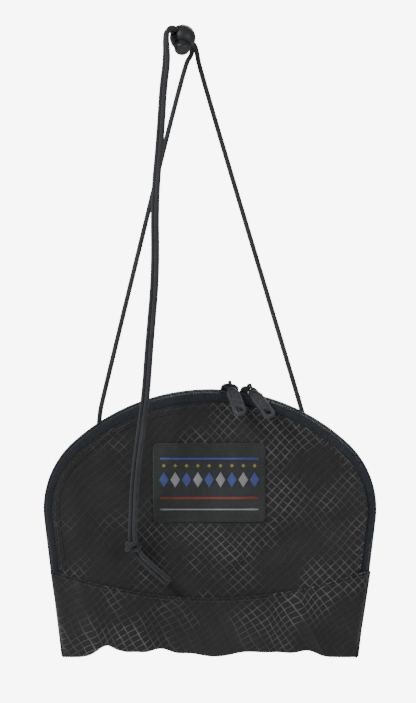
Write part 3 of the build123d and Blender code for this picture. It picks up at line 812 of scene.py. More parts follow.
# Across the chain, and out of it.
COIL_MIDDLE = (1.8 * MM, -1.15 * MM)
COIL_HALF = (0.88 * MM, 0.74 * MM)
COIL_WIRE_R = 0.3 * MM
COIL_STEPS = 12
TACK_REACH = 3.0 * MM
TACK_THREAD_R = 0.16 * MM
tape_front_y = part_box("zipper_tape_front")[0].y
tape_back_y = back_tape_high.y
coil_end_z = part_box("zipper_coil_front")[0].z


def chain(across, out):
    """A point of the zip's section, from places across the chain and out of it."""
    return (
        -CHAIN_DEPTH - across * sin(ZIP_TILT) + out * cos(ZIP_TILT),
        across * cos(ZIP_TILT) + out * sin(ZIP_TILT),
    )


def chain_at(out, forward):
    """How far across the chain this forward distance is."""
    return (forward - out * sin(ZIP_TILT)) / cos(ZIP_TILT)


def zip_tape(side, outer):
    """One tape's section: on the coil, over the fold and down to the panel. 1 is the front."""
    inner = outer - side * TAPE
    slit = side * TAPE_SLIT / 2
    return rounded(
        [
            chain(slit, 0.02 * MM),
            chain(chain_at(0.02 * MM, inner), 0.02 * MM),
            (-TAPE_DEPTH, inner),
            (-TAPE_DEPTH, outer),
            chain(chain_at(TAPE, outer), TAPE),
            chain(slit, TAPE),
        ],
        TAPE_ROUNDING,
        5,
    )


zip_tape_cloth = ribbed_tape(
    "zip tape", (0.0050, 0.0075, 0.0110, 1), (0.0105, 0.0145, 0.0205, 1), 0.8 * MM, 0.0
)
ridge = [(p, out, FORWARD) for p, out in crest(0, SEAM_SIDE_Z - TAPE_RUN_ON, 1.0 * MM)]
for side, label, outer in ((1, "front", -tape_front_y), (-1, "back", -tape_back_y)):
    tape = sweep(f"zip_tape_{label}", ridge, zip_tape(side, outer), zip_tape_cloth)
    sew_in(tape, "pouch", "zip_tape", f"zipper_tape_{label}")


def tube(name, line, radius, surface, sides=8, closed=False, swell=None):
    """A round cord or wire along points. Swell gives each point's share of the radius."""
    line = [Vector(point) for point in line]
    count = len(line)
    runs = []
    for index in range(count):
        before = line[index - 1] if closed or index else line[0]
        after = line[(index + 1) % count] if closed or index < count - 1 else line[-1]
        runs.append((after - before).normalized())
    first = runs[0].orthogonal().normalized()
    frames = [first]
    for before, after in zip(runs, runs[1:]):
        frames.append(before.rotation_difference(after) @ frames[-1])
    twist = 0.0
    if closed:
        back = runs[-1].rotation_difference(runs[0]) @ frames[-1]
        twist = atan2(back.cross(first).dot(runs[0]), back.dot(first))
    stations = []
    for index, (point, run, across) in enumerate(zip(line, runs, frames)):
        turned = Matrix.Rotation(twist * index / count, 3, run) @ across
        size = swell[index] if swell is not None else 1.0
        stations.append((point, turned * size, run.cross(turned) * size))
    ring = [
        (radius * cos(2 * pi * step / sides), radius * sin(2 * pi * step / sides))
        for step in range(sides)
    ]
    return sweep(name, stations, ring, surface, closed=closed, sharp=75)


def joined(name, parts):
    """Several meshes as one piece."""
    bpy.ops.object.select_all(action="DESELECT")
    for part in parts:
        part.select_set(True)
    bpy.context.view_layer.objects.active = parts[0]
    bpy.ops.object.join()
    parts[0].name = name
    return parts[0]


def nylon(name, dark, light, gloss):
    """Moulded or drawn nylon: satin, with faint flow marks and handling dust."""
    made, tree, shader, place = new_material(name, Specular_IOR_Level=0.35)
    wear = use(tree, HANDLING, Place=place, Broad=0.006, Fine=0.0007)
    colour = mixed(tree, maths(tree, "MULTIPLY", wear.outputs["Mottle"], 0.7), dark, light)
    roughness = ranged(tree, wear.outputs["Speckle"], 0.0, 1.0, gloss, gloss + 0.16)
    finish_material(tree, shader, colour, roughness, wear.outputs["Speckle"], 0.02 * MM)
    return made


coil_nylon = nylon("coil nylon", (0.010, 0.011, 0.013, 1), (0.030, 0.032, 0.036, 1), 0.32)


def zip_coil(side):
    """A nylon line wound into a flattened coil along the chain."""
    line = []
    for index, (point, outward) in enumerate(crest(0, coil_end_z, COIL_PITCH / COIL_STEPS)):
        phase = 2 * pi * index / COIL_STEPS
        across = side * (COIL_MIDDLE[0] + COIL_HALF[0] * cos(phase))
        out, forward = chain(across, COIL_MIDDLE[1] + COIL_HALF[1] * sin(phase))
        line.append(point + outward * out + FORWARD * forward)
    return line


for side, label in ((1, "front"), (-1, "back")):
    coil = tube(f"zip_coil_{label}", zip_coil(side), COIL_WIRE_R, coil_nylon, sides=6)
    sew_in(coil, "pouch", "coil", f"zipper_coil_{label}")


def thread_material(name, dark, light, sheen=0.2):
    """Twisted polyester sewing thread."""
    made, tree, shader, place = new_material(
        name, Specular_IOR_Level=0.25, Sheen_Weight=sheen, Sheen_Roughness=0.4
    )
    lay = put(tree, "ShaderNodeUVMap", uv_map="lay").outputs[0]
    axes = put(tree, "ShaderNodeSeparateXYZ", {0: lay})
    slant = maths(tree, "ADD", axes.outputs["X"], axes.outputs["Y"])
    twist = maths(tree, "SINE", maths(tree, "MULTIPLY", slant, 2 * pi / (0.45 * MM)))
    ply = ranged(tree, twist, -1.0, 1.0, 0.0, 1.0)
    wear = use(tree, HANDLING, Place=place, Broad=0.012, Fine=0.0011)
    tone = maths(tree, "MULTIPLY", maths(tree, "ADD", ply, wear.outputs["Mottle"]), 0.5)
    colour = mixed(tree, tone, dark, light)
    roughness = ranged(tree, wear.outputs["Speckle"], 0.0, 1.0, 0.5, 0.7)
    finish_material(tree, shader, colour, roughness, ply, 0.04 * MM)
    return made


black_thread = thread_material("black thread", (0.004, 0.004, 0.005, 1), (0.016, 0.016, 0.018, 1))
grey_thread = thread_material("grey thread", (0.010, 0.010, 0.011, 1), (0.045, 0.045, 0.048, 1))
tape_thread = thread_material(
    "tape thread", (0.002, 0.003, 0.004, 1), (0.006, 0.008, 0.010, 1), 0.0
)


def end_tack(side):
    """Close zigzag stitches over both tapes, just past the coil's end."""
    reach = (SIDE_START_Z - coil_end_z) / cos(SIDE_LEAN)
    outward = Vector((side * sin(SIDE_ANGLE), 0, cos(SIDE_ANGLE)))
    down = Vector((side * cos(SIDE_ANGLE), 0, -sin(SIDE_ANGLE)))
    start = Vector((POUCH_X + side * SIDE_START_X, 0, SIDE_START_Z)) + down * reach
    line = []
    for index in range(21):
        across = TACK_REACH * 0.92 * (-1 if index % 2 else 1)
        for share in (-1.0, -0.5, 0.0, 0.5, 1.0):
            out, forward = chain(across * share, TAPE + 0.22 * MM - 0.12 * MM * share**2)
            walk = down * (0.15 * MM * index + 0.07 * MM * share)
            line.append(start + outward * out + FORWARD * forward + walk)
    return line


for side, label in ((-1, "left"), (1, "right")):
    tack = tube(f"zip_end_tack_{label}", end_tack(side), TACK_THREAD_R, black_thread, sides=6)
    sew_in(tack, "pouch", "tack", f"zipper_end_tack_{label}")


# ---- Stitching -----------------------------------------------------------------------------
# Lockstitch in polyester thread. Each stitch shows as a short twisted dash that dips into the
# cloth at both ends: along both hems of the zip, below the curved seam and beside the bottom.
STITCH = 2.3 * MM
STITCH_GAP = 0.7 * MM
THREAD_R = 0.2 * MM
ZIP_STITCH_INSET = HEM_INSET + 1.5 * MM
CHAIN_STITCH_W = 2.2 * MM
SEAM_STITCH_DROP = 1.8 * MM
BOTTOM_STITCH_INSET = 4.0 * MM
HEM_LAYER = 0.32 * MM
THREAD_STEP = 0.8 * MM


def stitches(name, line, lift, surface, length=STITCH, gap=STITCH_GAP, radius=THREAD_R):
    """Dashes of thread along points, which lie on the cloth. Lift points out of the cloth."""
    line = [Vector(point) for point in line]
    walked = np.concatenate([[0], np.cumsum([(b - a).length for a, b in zip(line, line[1:])])])
    places = np.array([list(point) for point in line])
    points, faces, uvs = [], [], []
    rings, sides = 5, 6
    start = gap / 2
    while start + length < walked[-1]:
        stops = start + length * np.linspace(0, 1, rings)
        middle = np.stack([np.interp(stops, walked, places[:, axis]) for axis in range(3)], 1)
        run = Vector(middle[-1] - middle[0]).normalized()
        across = run.cross(lift).normalized()
        base = len(points)
        for ring in range(rings):
            share = 2 * ring / (rings - 1) - 1
            height = radius * (0.75 - 1.25 * share**4)
            width = radius * (1 - 0.35 * share**4)
            for side in range(sides):
                turn = 2 * pi * side / sides
                spot = Vector(middle[ring]) + lift * (height + width * sin(turn))
                points.append(spot + across * width * cos(turn))
        for face in grid_faces(rings, sides, wrap=True):
            faces.append(tuple(base + corner for corner in face))
            for corner in face:
                uvs.append((corner // sides * length / rings, corner % sides * radius))
        for ring, order in ((0, -1), (rings - 1, 1)):
            ends = list(range(base + ring * sides, base + (ring + 1) * sides))[::order]
            faces.append(tuple(ends))
            uvs.extend((ring * length / rings, index * radius) for index in range(sides))
        start += length + gap
    piece = mesh_piece(name, points, faces, surface, uvs=uvs, sharp=80)
    turned_out(piece)
    return piece


def hem_row(face_y, low_z):
    """Points of the sewn line along a panel's hem."""
    line = hem_line(ZIP_STITCH_INSET, low_z, THREAD_STEP)
    return [Vector((point.x, face_y, point.z)) for point, _ in line]


zip_row = hem_row(FRONT_Y - HEM_LAYER, SEAM_SIDE_Z + 1 * MM)
zip_stitching = stitches("zip_hem_stitching", zip_row, FORWARD, grey_thread)
sew_in(zip_stitching, "pouch", "thread", "zip_topstitching")

back_row = hem_row(BACK_Y + HEM_LAYER, SEAM_SIDE_Z + 4 * MM)
sew_in(stitches("back_hem_stitching", back_row, -FORWARD, black_thread), "pouch", "thread")


def along_seam(drop, margin):
    """Points across the front, this far below the curved seam."""
    reach = side_reach(SEAM_SIDE_Z) - margin
    x = np.linspace(POUCH_X - reach, POUCH_X + reach, 240)
    z = seam_z(x) - drop
    y = strip_y(x, z)
    return [Vector(point) for point in zip(x, y - 0.02 * MM, z)]


seam_row = stitches("strip_seam_stitching", along_seam(SEAM_STITCH_DROP, 3 * MM), FORWARD, grey_thread)
sew_in(seam_row, "pouch", "thread", "band_topstitching")
seam_dip = tube(
    "strip_seam_cord", along_seam(0.15 * MM, 1.2 * MM), 0.42 * MM, strip_cloth, sides=8
)
sew_in(seam_dip, "pouch", "ripstop")

bottom_row = []
for x in np.linspace(POUCH_X - bottom_reach + 3 * MM, POUCH_X + bottom_reach - 3 * MM, 240):
    z = bottom_at(x) + BOTTOM_STITCH_INSET
    bottom_row.append(Vector((x, float(back_y(np.array([x]), np.array([z]))[0]), z)))
sew_in(stitches("bottom_stitching", bottom_row, -FORWARD, black_thread), "pouch", "thread")

# The lockstitch that holds each coil shows as a fine row on its tape.
for side, label in ((1, "front"), (-1, "back")):
    out, forward = chain(side * CHAIN_STITCH_W, TAPE)
    coil_row = [
        point + outward * out + FORWARD * forward
        for point, outward in crest(0, coil_end_z, THREAD_STEP)
    ]
    lift = (FORWARD * 0.6 + Vector((0, 0, 0.8))).normalized()
    row = stitches(
        f"coil_stitching_{label}",
        coil_row,
        lift,
        tape_thread,
        length=1.1 * MM,
        gap=0.4 * MM,
        radius=0.12 * MM,
    )
    sew_in(row, "pouch", "thread")


# ---- Woven label ---------------------------------------------------------------------------
# A polyester damask label with turned edges, sewn flat on the front by one row of stitches. Its
# pattern is a plain geometric border of lozenges and stripes in raised coloured weft.
LABEL_THICK = 0.8 * MM
LABEL_BORDER = 2.5 * MM
LABEL_CORNER_R = 2.2 * MM
LABEL_STITCH = 1.55 * MM
LABEL_CLOTH = 0.5 * MM
WARP_THREAD = 0.22 * MM
WEFT_THREAD = 0.3 * MM
WEFT_RISE = 0.24 * MM
WEFT_THICK = 0.2 * MM


def label_edge(inset):
    """The label's outline, moved inwards, as x and z."""
    corners = oblong(label_half.x - inset, label_half.z - inset)
    outline = rounded(corners, max(LABEL_CORNER_R - inset, 0.4 * MM) * 1.3, 8)
    dense = []
    for start, end in zip(outline, outline[1:] + outline[:1]):
        steps = max(1, round((Vector(end) - Vector(start)).length / (1.2 * MM)))
        for share in np.arange(steps) / steps:
            x = start[0] + (end[0] - start[0]) * share
            z = start[1] + (end[1] - start[1]) * share
            dense.append((label_middle.x + x, label_middle.z + z))
    return dense


def label_y(x, z):
    """The label's outer face, with its turned edge standing a little higher."""
    from_side = np.minimum(
        label_half.x - np.abs(x - label_middle.x), label_half.z - np.abs(z - label_middle.z)
    )
    turned = 0.28 * MM * (1 - ease((from_side - LABEL_BORDER + 0.5 * MM) / (0.5 * MM)))
    edge = 0.35 * MM * (1 - ease(from_side / (0.7 * MM)))
    sewn = 0.22 * MM * np.exp(-(((from_side - LABEL_STITCH) / (0.35 * MM)) ** 2))
    pucker = 0.08 * MM * np.sin((x + z) / (0.8 * MM)) * (1 - ease(from_side / (4 * MM)))
    return front_y(x, z) - LABEL_THICK * 0.75 - turned + edge + sewn - pucker


def woven_label_material(name, dark, light, thread):
    """Damask weave: fine close warp with slubs, and a slight sheen."""
    made, tree, shader, place = new_material(
        name, Specular_IOR_Level=0.25, Sheen_Weight=0.15, Sheen_Roughness=0.35
    )
    axes = put(tree, "ShaderNodeSeparateXYZ", {0: place})
    slant = maths(tree, "MULTIPLY_ADD", axes.outputs["Z"], 0.5, axes.outputs["X"])
    weave = use(tree, PLAIN_WEAVE, Across=slant, Along=axes.outputs["Z"], Thread=thread)
    wear = use(tree, HANDLING, Place=place, Broad=0.02, Fine=0.0013)
    tone = maths(tree, "MULTIPLY_ADD", weave.outputs["Tone"], 0.35, wear.outputs["Mottle"])
    tone = maths(tree, "MULTIPLY_ADD", weave.outputs["Height"], 0.45, tone)
    colour = mixed(tree, maths(tree, "MULTIPLY", tone, 0.55), dark, light)
    roughness = ranged(tree, wear.outputs["Speckle"], 0.0, 1.0, 0.55, 0.72)
    finish_material(tree, shader, colour, roughness, weave.outputs["Height"], 0.06 * MM)
    return made


label_ground = woven_label_material(
    "label ground", (0.012, 0.014, 0.014, 1), (0.030, 0.033, 0.034, 1), WARP_THREAD
)
label_piece = cut_panel(
    "woven_label_cloth",
    label_edge(0.0),
    (label_middle.x, label_middle.z),
    label_y,
    label_ground,
    FORWARD,
    rings=44,
)
thicken(label_piece, LABEL_CLOTH)
sew_in(label_piece, "pouch", "label", "woven_label")

label_row = [
    Vector((x, float(label_y(np.array([x]), np.array([z]))[0]) - 0.02 * MM, z))
    for x, z in label_edge(LABEL_STITCH) + label_edge(LABEL_STITCH)[:1]
]
label_stitching = stitches(
    "label_stitching_thread",
    label_row,
    FORWARD,
    grey_thread,
    length=1.5 * MM,
    gap=0.5 * MM,
    radius=0.16 * MM,
)
sew_in(label_stitching, "pouch", "thread", "label_stitching")


def raised_weft(colour, dark, light, shapes):
    """Small raised areas of one colour of weft on the label, for outlines in millimetres."""
    name = f"label_weft_{colour}"
    surface = woven_label_material(f"{colour} weft", dark, light, WEFT_THREAD)
    parts = []
    for index, outline in enumerate(shapes):
        outline = np.array(outline) * MM
        middle = outline.mean(axis=0)
        reach = np.abs(outline - middle).max()

        def dome(x, z, middle=middle, reach=reach):
            flat_x = label_middle.x + x
            flat_z = label_middle.z + z
            off = np.maximum(np.abs(x - middle[0]), np.abs(z - middle[1])) / reach
            return label_y(flat_x, flat_z) - WEFT_RISE * (1 - ease((off - 0.8) / 0.3))

        part = cut_panel(f"{name}_{index}", outline, middle, dome, surface, FORWARD, rings=3)
        part.location = (label_middle.x, 0, label_middle.z)
        thicken(part, WEFT_THICK)
        parts.append(part)
    piece = joined(name, parts)
    bpy.ops.object.transform_apply(location=True, rotation=False, scale=False)
    return sew_in(piece, "pouch", "label")


def lozenge(x, z, half_x, half_z):
    """A lozenge about this middle, its sides in short steps."""
    corners = [(x - half_x, z), (x, z + half_z), (x + half_x, z), (x, z - half_z)]
    outline = []
    for start, end in zip(corners, corners[1:] + corners[:1]):
        for share in np.arange(6) / 6:
            outline.append(
                (start[0] + (end[0] - start[0]) * share, start[1] + (end[1] - start[1]) * share)
            )
    return outline


def stripe(z, half_z):
    """A stripe along the label at this height."""
    places = np.linspace(-STRIPE_END, STRIPE_END, round(2 * STRIPE_END / 1.2))
    return [(x, z + half_z) for x in places] + [(x, z - half_z) for x in reversed(places)]


# Heights of the pattern's rows, and the sizes of its shapes, in millimetres.
LOZENGE_STEP = 6.0
LOZENGE_Z = 1.5
LOZENGE_HALF_X = 2.6
LOZENGE_HALF_Z = 4.2
DIAMOND_Z = 8.9
DIAMOND_HALF = 1.1
STRIPE_END = 26
lozenge_x = [LOZENGE_STEP * step for step in range(-4, 5)]
lozenges = [lozenge(x, LOZENGE_Z, LOZENGE_HALF_X, LOZENGE_HALF_Z) for x in lozenge_x]
diamonds = [lozenge(x, DIAMOND_Z, DIAMOND_HALF, DIAMOND_HALF) for x in lozenge_x]
blue_shapes = lozenges[::2] + [stripe(12.6, 0.55)]
pale_shapes = lozenges[1::2] + [stripe(-14.2, 0.4)]
for colour, dark, light, shapes in (
    ("blue", (0.024, 0.036, 0.120, 1), (0.060, 0.082, 0.250, 1), blue_shapes),
    ("pale", (0.110, 0.115, 0.122, 1), (0.250, 0.258, 0.270, 1), pale_shapes),
    ("rust", (0.080, 0.020, 0.014, 1), (0.170, 0.046, 0.030, 1), [stripe(-8.2, 0.7)]),
    ("straw", (0.120, 0.120, 0.024, 1), (0.230, 0.230, 0.060, 1), diamonds),
):
    raised_weft(colour, dark, light, shapes)


# ---- Sliders and pulls ---------------------------------------------------------------------
# Die-cast zinc with a dark gunmetal finish, worn brighter on its edges. Each slider's body has an
# arch over it for the ring of its pull, a flat tab with a raised rim round outline and window. The
# rims are in a lighter gunmetal, which paints their highlight.
PULL_LEAN = radians(49.5)
PULL_SWINGS = {"left": radians(72.9), "right": radians(55.4)}
PULL_LENGTH = 24.0 * MM
PULL_HALF_WIDTH = 3.6 * MM
PULL_HALF_THICK = 0.65 * MM
PULL_NECK_START = 3.2 * MM
PULL_NECK_END = 6.9 * MM
PULL_NECK_HALF_WIDTH = 1.1 * MM
PULL_CORNER = 3.0 * MM
WINDOW_LENGTH = 4.95 * MM
WINDOW_CORNER = 1.8 * MM
WINDOW_TO_TIP = 1.15 * MM
WINDOW_HALF_WIDTH = 2.1 * MM
RIM_R = 0.34 * MM
RIM_INSET = 0.45 * MM
RIM_SINK = 0.08 * MM


def edge_wear_effect():
    """Where corners are rubbed, from 0 to 1, broken up by fine scratches."""
    tree, given, result = effect(
        "edge wear", {"Place": Vector(), "Scratch": 0.002}, {"Rubbed": float, "Scratches": float}
    )
    corners = put(tree, "ShaderNodeNewGeometry").outputs["Pointiness"]
    rubbed = ranged(tree, corners, 0.54, 0.64, 0.0, 1.0)
    scale = maths(tree, "DIVIDE", 1.0, given.outputs["Scratch"])
    marks = put(
        tree,
        "ShaderNodeTexNoise",
        {"Vector": given.outputs["Place"], "Scale": scale, "Detail": 5.0, "Distortion": 1.5},
    )
    broken = ranged(tree, marks.outputs[0], 0.35, 0.65, 0.0, 1.0)
    tree.links.new(maths(tree, "MULTIPLY", rubbed, broken), result.inputs["Rubbed"])
    tree.links.new(broken, result.inputs["Scratches"])
    return tree


EDGE_WEAR = edge_wear_effect()


def gunmetal_finish(name, dark, light):
    """Dark plating over zinc: a satin metal, bright where its corners are rubbed."""
    made, tree, shader, place = new_material(name, Specular_IOR_Level=0.38)
    wear = use(tree, EDGE_WEAR, Place=place, Scratch=1.2 * MM)
    mottle = use(tree, HANDLING, Place=place, Broad=0.005, Fine=0.0006)
    tone = mixed(tree, mottle.outputs["Mottle"], dark, light)
    colour = mixed(tree, wear.outputs["Rubbed"], tone, (0.075, 0.075, 0.085, 1))
    roughness = ranged(tree, wear.outputs["Scratches"], 0.0, 1.0, 0.46, 0.56)
    metal = ranged(tree, wear.outputs["Rubbed"], 0.0, 1.0, 0.2, 0.6)
    tree.links.new(metal, shader.inputs["Metallic"])
    finish_material(tree, shader, colour, roughness, mottle.outputs["Mottle"], 0.008 * MM)
    return made


gunmetal = gunmetal_finish("gunmetal", (0.0075, 0.0078, 0.0100, 1), (0.0140, 0.0145, 0.0180, 1))
# The pulls' raised rims get this lighter gunmetal: a painted highlight along them.
rim_highlight_gunmetal = gunmetal_finish("gunmetal painted highlight", (0.018, 0.018, 0.022, 1), (0.055, 0.055, 0.066, 1))


def finish_solid(node, surface, edge=0.12 * MM):
    """A part that keeps its exact solid, with its finish and softly broken edges."""
    solid = nodes[node]
    solid.data.materials.clear()
    solid.data.materials.append(surface)
    soft = solid.modifiers.new("broken edges", "BEVEL")
    soft.width = edge
    soft.segments = 2
    soft.limit_method = "ANGLE"
    soft.angle_limit = radians(38)


joints = {joint["name"]: joint for joint in frame["joints"]}


def pull_place(name):
    """The pull's own frame: its ring's centre, then along the tab, across it and out of it."""
    joint = joints[f"{name}_pull_swing"]
    run = -Vector(joint["axis"]).normalized()
    outward = Vector((-run.z, 0, run.x))
    hanging = outward * -cos(PULL_LEAN) + FORWARD * sin(PULL_LEAN)
    swing = PULL_SWINGS[name]
    along = run * cos(swing) + hanging * sin(swing)
    across = run * sin(swing) - hanging * cos(swing)
    return Vector(joint["pos_m"]), along, across, along.cross(across)


def pull_rims(name):
    """Raised rims on both faces: round the tab and round its window, in a lighter gunmetal that paints
    their highlight.
    """
    origin, along, across, out = pull_place(name)
    half = PULL_HALF_WIDTH - RIM_INSET
    tip = PULL_LENGTH - RIM_INSET
    tab = [
        (PULL_NECK_START, -PULL_NECK_HALF_WIDTH),
        (PULL_NECK_END, -half),
        (tip, -half),
        (tip, half),
        (PULL_NECK_END, half),
        (PULL_NECK_START, PULL_NECK_HALF_WIDTH),
    ]
    window_middle = PULL_LENGTH - WINDOW_TO_TIP - WINDOW_LENGTH / 2
    window = [(window_middle + x, y) for x, y in oblong(WINDOW_LENGTH / 2, WINDOW_HALF_WIDTH)]
    rims = []
    for side in (-1, 1):
        for outline in (rounded(tab, PULL_CORNER, 8), rounded(window, WINDOW_CORNER, 8)):
            line = [
                origin + along * x + across * y + out * side * (PULL_HALF_THICK - RIM_SINK)
                for x, y in outline
            ]
            rims.append(
                tube(f"rim_{name}_{len(rims)}", line, RIM_R, rim_highlight_gunmetal, sides=8, closed=True)
            )
    return joined(f"{name}_pull_rims", rims)


CROWN_HALF_SPAN = 4.3 * MM
CROWN_RISE = 2.9 * MM
CROWN_HEIGHT = CROWN_RISE + 0.15 * MM
CROWN_SQUARENESS = 0.62
CROWN_TOP_HALF_WIDTH = 0.95 * MM
CROWN_FOOT_HALF_WIDTH = 1.9 * MM
CROWN_HALF_THICK = 0.5 * MM
CROWN_SLOT = 0.66 * MM
CHEEK_HALF_THICK = 0.55 * MM


def slider_crown(name):
    """The cast arch over the slider's body, which its pull's ring goes round."""
    joint = joints[f"{name}_pull_swing"]
    run = -Vector(joint["axis"]).normalized()
    outward = Vector((-run.z, 0, run.x))
    up = outward * cos(ZIP_TILT) + FORWARD * sin(ZIP_TILT)
    across = up.cross(run)
    foot = Vector(joint["pos_m"]) - up * CROWN_RISE

    def arch(turn):
        return -cos(turn) * CROWN_HALF_SPAN, sin(turn) ** CROWN_SQUARENESS * CROWN_HEIGHT

    stations = []
    for turn in np.linspace(0, pi, 33):
        flat, high = arch(turn)
        slope = (run * sin(turn) + up * cos(turn) * 0.75).normalized()
        outside = slope.cross(across).normalized()
        width = CROWN_FOOT_HALF_WIDTH
        width += (CROWN_TOP_HALF_WIDTH - CROWN_FOOT_HALF_WIDTH) * sin(turn) ** 0.8
        stations.append((foot + run * flat + up * high, across * width, outside * CROWN_HALF_THICK))
    section = rounded(oblong(1, 1), 0.6)
    parts = [sweep(f"{name}_slider_arch", stations, section, gunmetal)]
    # A cheek under each half of the arch leaves a slot for the pull's ring.
    slot_turn = acos(CROWN_SLOT / CROWN_HALF_SPAN)
    for side in (-1, 1):
        curve = [arch(turn) for turn in np.linspace(0.02, slot_turn, 12)]
        cheek = [(-side * flat, high) for flat, high in curve] + [(side * CROWN_SLOT, 0)]
        ends = [(foot + across * reach, run, up) for reach in (-CHEEK_HALF_THICK, CHEEK_HALF_THICK)]
        parts.append(sweep(f"{name}_cheek_{side}", ends, cheek, gunmetal))
    return joined(f"{name}_slider_crown", parts)


for name in PULL_SWINGS:
    sew_in(slider_crown(name), f"{name}_slider", "metal")
    finish_solid(f"{name}_slider", gunmetal)
    finish_solid(f"{name}_pull", gunmetal, edge=0.18 * MM)
    sew_in(pull_rims(name), f"{name}_pull", "metal")


# ---- Cord anchors --------------------------------------------------------------------------
# A short piece of nylon webbing, laid over each cord's end on the back panel and sewn down on
# both sides, so that the cord comes out of the tunnel at its top.
TAB_LENGTH = 10.0 * MM
TAB_MOUTH = 1.4 * MM
TAB_STITCH_ACROSS = 3.35 * MM
TAB_STITCH_SWAY = 0.35 * MM
TAB_STITCH_OUT = 0.85 * MM
TAB_THREAD_R = 0.17 * MM
# The tab's section over its cord: across and out, in millimetres.
TUNNEL = [(-4.0, 0.05), (-4.0, 0.75), (-2.7, 0.95), (-2.1, 2.3), (-1.2, 3.5), (0.0, 3.95),
          (1.2, 3.5), (2.1, 2.3), (2.7, 0.95), (4.0, 0.75), (4.0, 0.05), (2.2, 0.05),
          (1.75, 1.7), (0.95, 2.95), (0.0, 3.4), (-0.95, 2.95), (-1.75, 1.7), (-2.2, 0.05)]

webbing = ribbed_tape(
    "webbing", (0.009, 0.009, 0.010, 1), (0.028, 0.028, 0.031, 1), 1.3 * MM, 0.15
)


def cord_tab(name, rise):
    """The tab over the end of the cord with this route, and its two rows of stitches."""
    top = Vector(rise[0])
    along = Vector(rise[1]) - top
    along = Vector((along.x, 0, along.z)).normalized()
    out = -FORWARD
    across = along.cross(out)
    base = Vector((top.x, BACK_Y, top.z))
    stations = []
    for share in np.linspace(0, 1, 14):
        origin = base + along * (TAB_MOUTH - (TAB_LENGTH + TAB_MOUTH) * share)
        flare = 1 + 0.04 * sin(pi * share * 3)
        closing = 1 - 0.35 * max(0.0, (share - 0.8) / 0.2)
        stations.append((origin, across, out * flare * closing))
    section = [(u * MM, v * MM) for u, v in TUNNEL]
    tab = sweep(f"{name}_tab", stations, rounded(section, 0.25 * MM, 2), webbing)
    sew_in(tab, "pouch", "anchor", name)
    for side in (-1, 1):
        line = []
        for index in range(15):
            sway = TAB_STITCH_SWAY * (-1 if index % 2 else 1)
            spot = base + across * side * (TAB_STITCH_ACROSS + sway) + out * TAB_STITCH_OUT
            line.append(spot - along * (TAB_LENGTH - 1 * MM) * index / 14)
        label = "left" if side < 0 else "right"
        thread = tube(f"{name}_tack_{label}", line, TAB_THREAD_R, black_thread, sides=6)
        sew_in(thread, "pouch", "thread")


# ---- Neck cord -----------------------------------------------------------------------------
# Two lengths of round braided polyester cord. Each rises from its tab on the back to the lock,
# passes through it, hangs doubled with the other in front and ends below a shared knot.
CORD_D = 2.6 * MM
CORD_SIDES = 16
CORD_STEP = 0.9 * MM
PAIR_GAP = 0.1 * MM
KNOT_REACH = 2.35 * MM
KNOT_LOBE = 1.15 * MM
KNOT_HALF_HEIGHT = 1.75 * MM
# From under each tab up to the lock's hole, behind it.
LEFT_RISE = [
    (-0.0486, 0.0070, -0.1985),
    (-0.0484, 0.0070, -0.1904),
    (-0.0466, 0.0071, -0.1810),
    (-0.0032, 0.0064, -0.0033),
    (0.0010, 0.0070, 0.0024),
    (0.00092, 0.00579, 0.00572),
]
RIGHT_RISE = [
    (0.0623, 0.0070, -0.1961),
    (0.0596, 0.0070, -0.1876),
    (0.0572, 0.0071, -0.1790),
    (0.0053, 0.0060, -0.0060),
    (0.0036, 0.0049, 0.0034),
    (0.00272, 0.00414, 0.00699),
]
# Through the lock's hole, over its left mouth and down beside it.
LEFT_TURN = [
    (-0.00136, 0.00381, 0.00749),
    (-0.00828, -0.00218, 0.01288),
    (-0.0104, -0.0045, 0.0142),
    (-0.0125, -0.0066, 0.0134),
    (-0.0131, -0.0078, 0.0100),
]
RIGHT_TURN = [
    (0.00031, 0.00205, 0.00886),
    (-0.00606, -0.00349, 0.01383),
    (-0.0084, -0.0059, 0.0154),
    (-0.0108, -0.0085, 0.0151),
    (-0.0126, -0.0101, 0.0118),
]
# Middle line of the doubled cord, from beside the lock to the knot.
PAIR_ROUTE = [
    (-0.0121, -0.0094, -0.0016),
    (-0.0140, -0.0104, -0.0160),
    (-0.0150, -0.0116, -0.0330),
    (-0.0162, -0.0129, -0.0500),
    (-0.0178, -0.0143, -0.0670),
    (-0.0184, -0.0158, -0.0850),
    (-0.0181, -0.0171, -0.1030),
    (-0.0185, -0.0189, -0.1210),
    (-0.0200, -0.0207, -0.1390),
    (-0.0215, -0.0221, -0.1570),
    (-0.0227, -0.0227, -0.1750),
    (-0.0249, -0.0221, -0.1930),
    (-0.0275, -0.0198, -0.2110),
    (-0.0292, -0.0166, -0.2280),
    (-0.0299, -0.0132, -0.2440),
]
PAIR_TWIST = (38.0, 55.0)
KNOT_CENTRE = (-0.0302, -0.0108, -0.2582)
LEFT_TAIL = [(-0.0240, -0.0098, -0.2676), (-0.0116, -0.0092, -0.2782)]
RIGHT_TAIL = [(-0.0224, -0.0116, -0.2662), (-0.0102, -0.0114, -0.2764)]


def pair_points(side):
    """One cord of the doubled stretch: -1 is the left cord, behind, and 1 the right one."""
    middle = [Vector(point) for point in PAIR_ROUTE + [KNOT_CENTRE]]
    half = (CORD_D + PAIR_GAP) / 2
    first, last = PAIR_TWIST
    points = []
    for index, point in enumerate(middle):
        twist = radians(first + (last - first) * index / (len(middle) - 1))
        points.append(point + Vector((sin(twist), -cos(twist), 0)) * side * half)
    return points


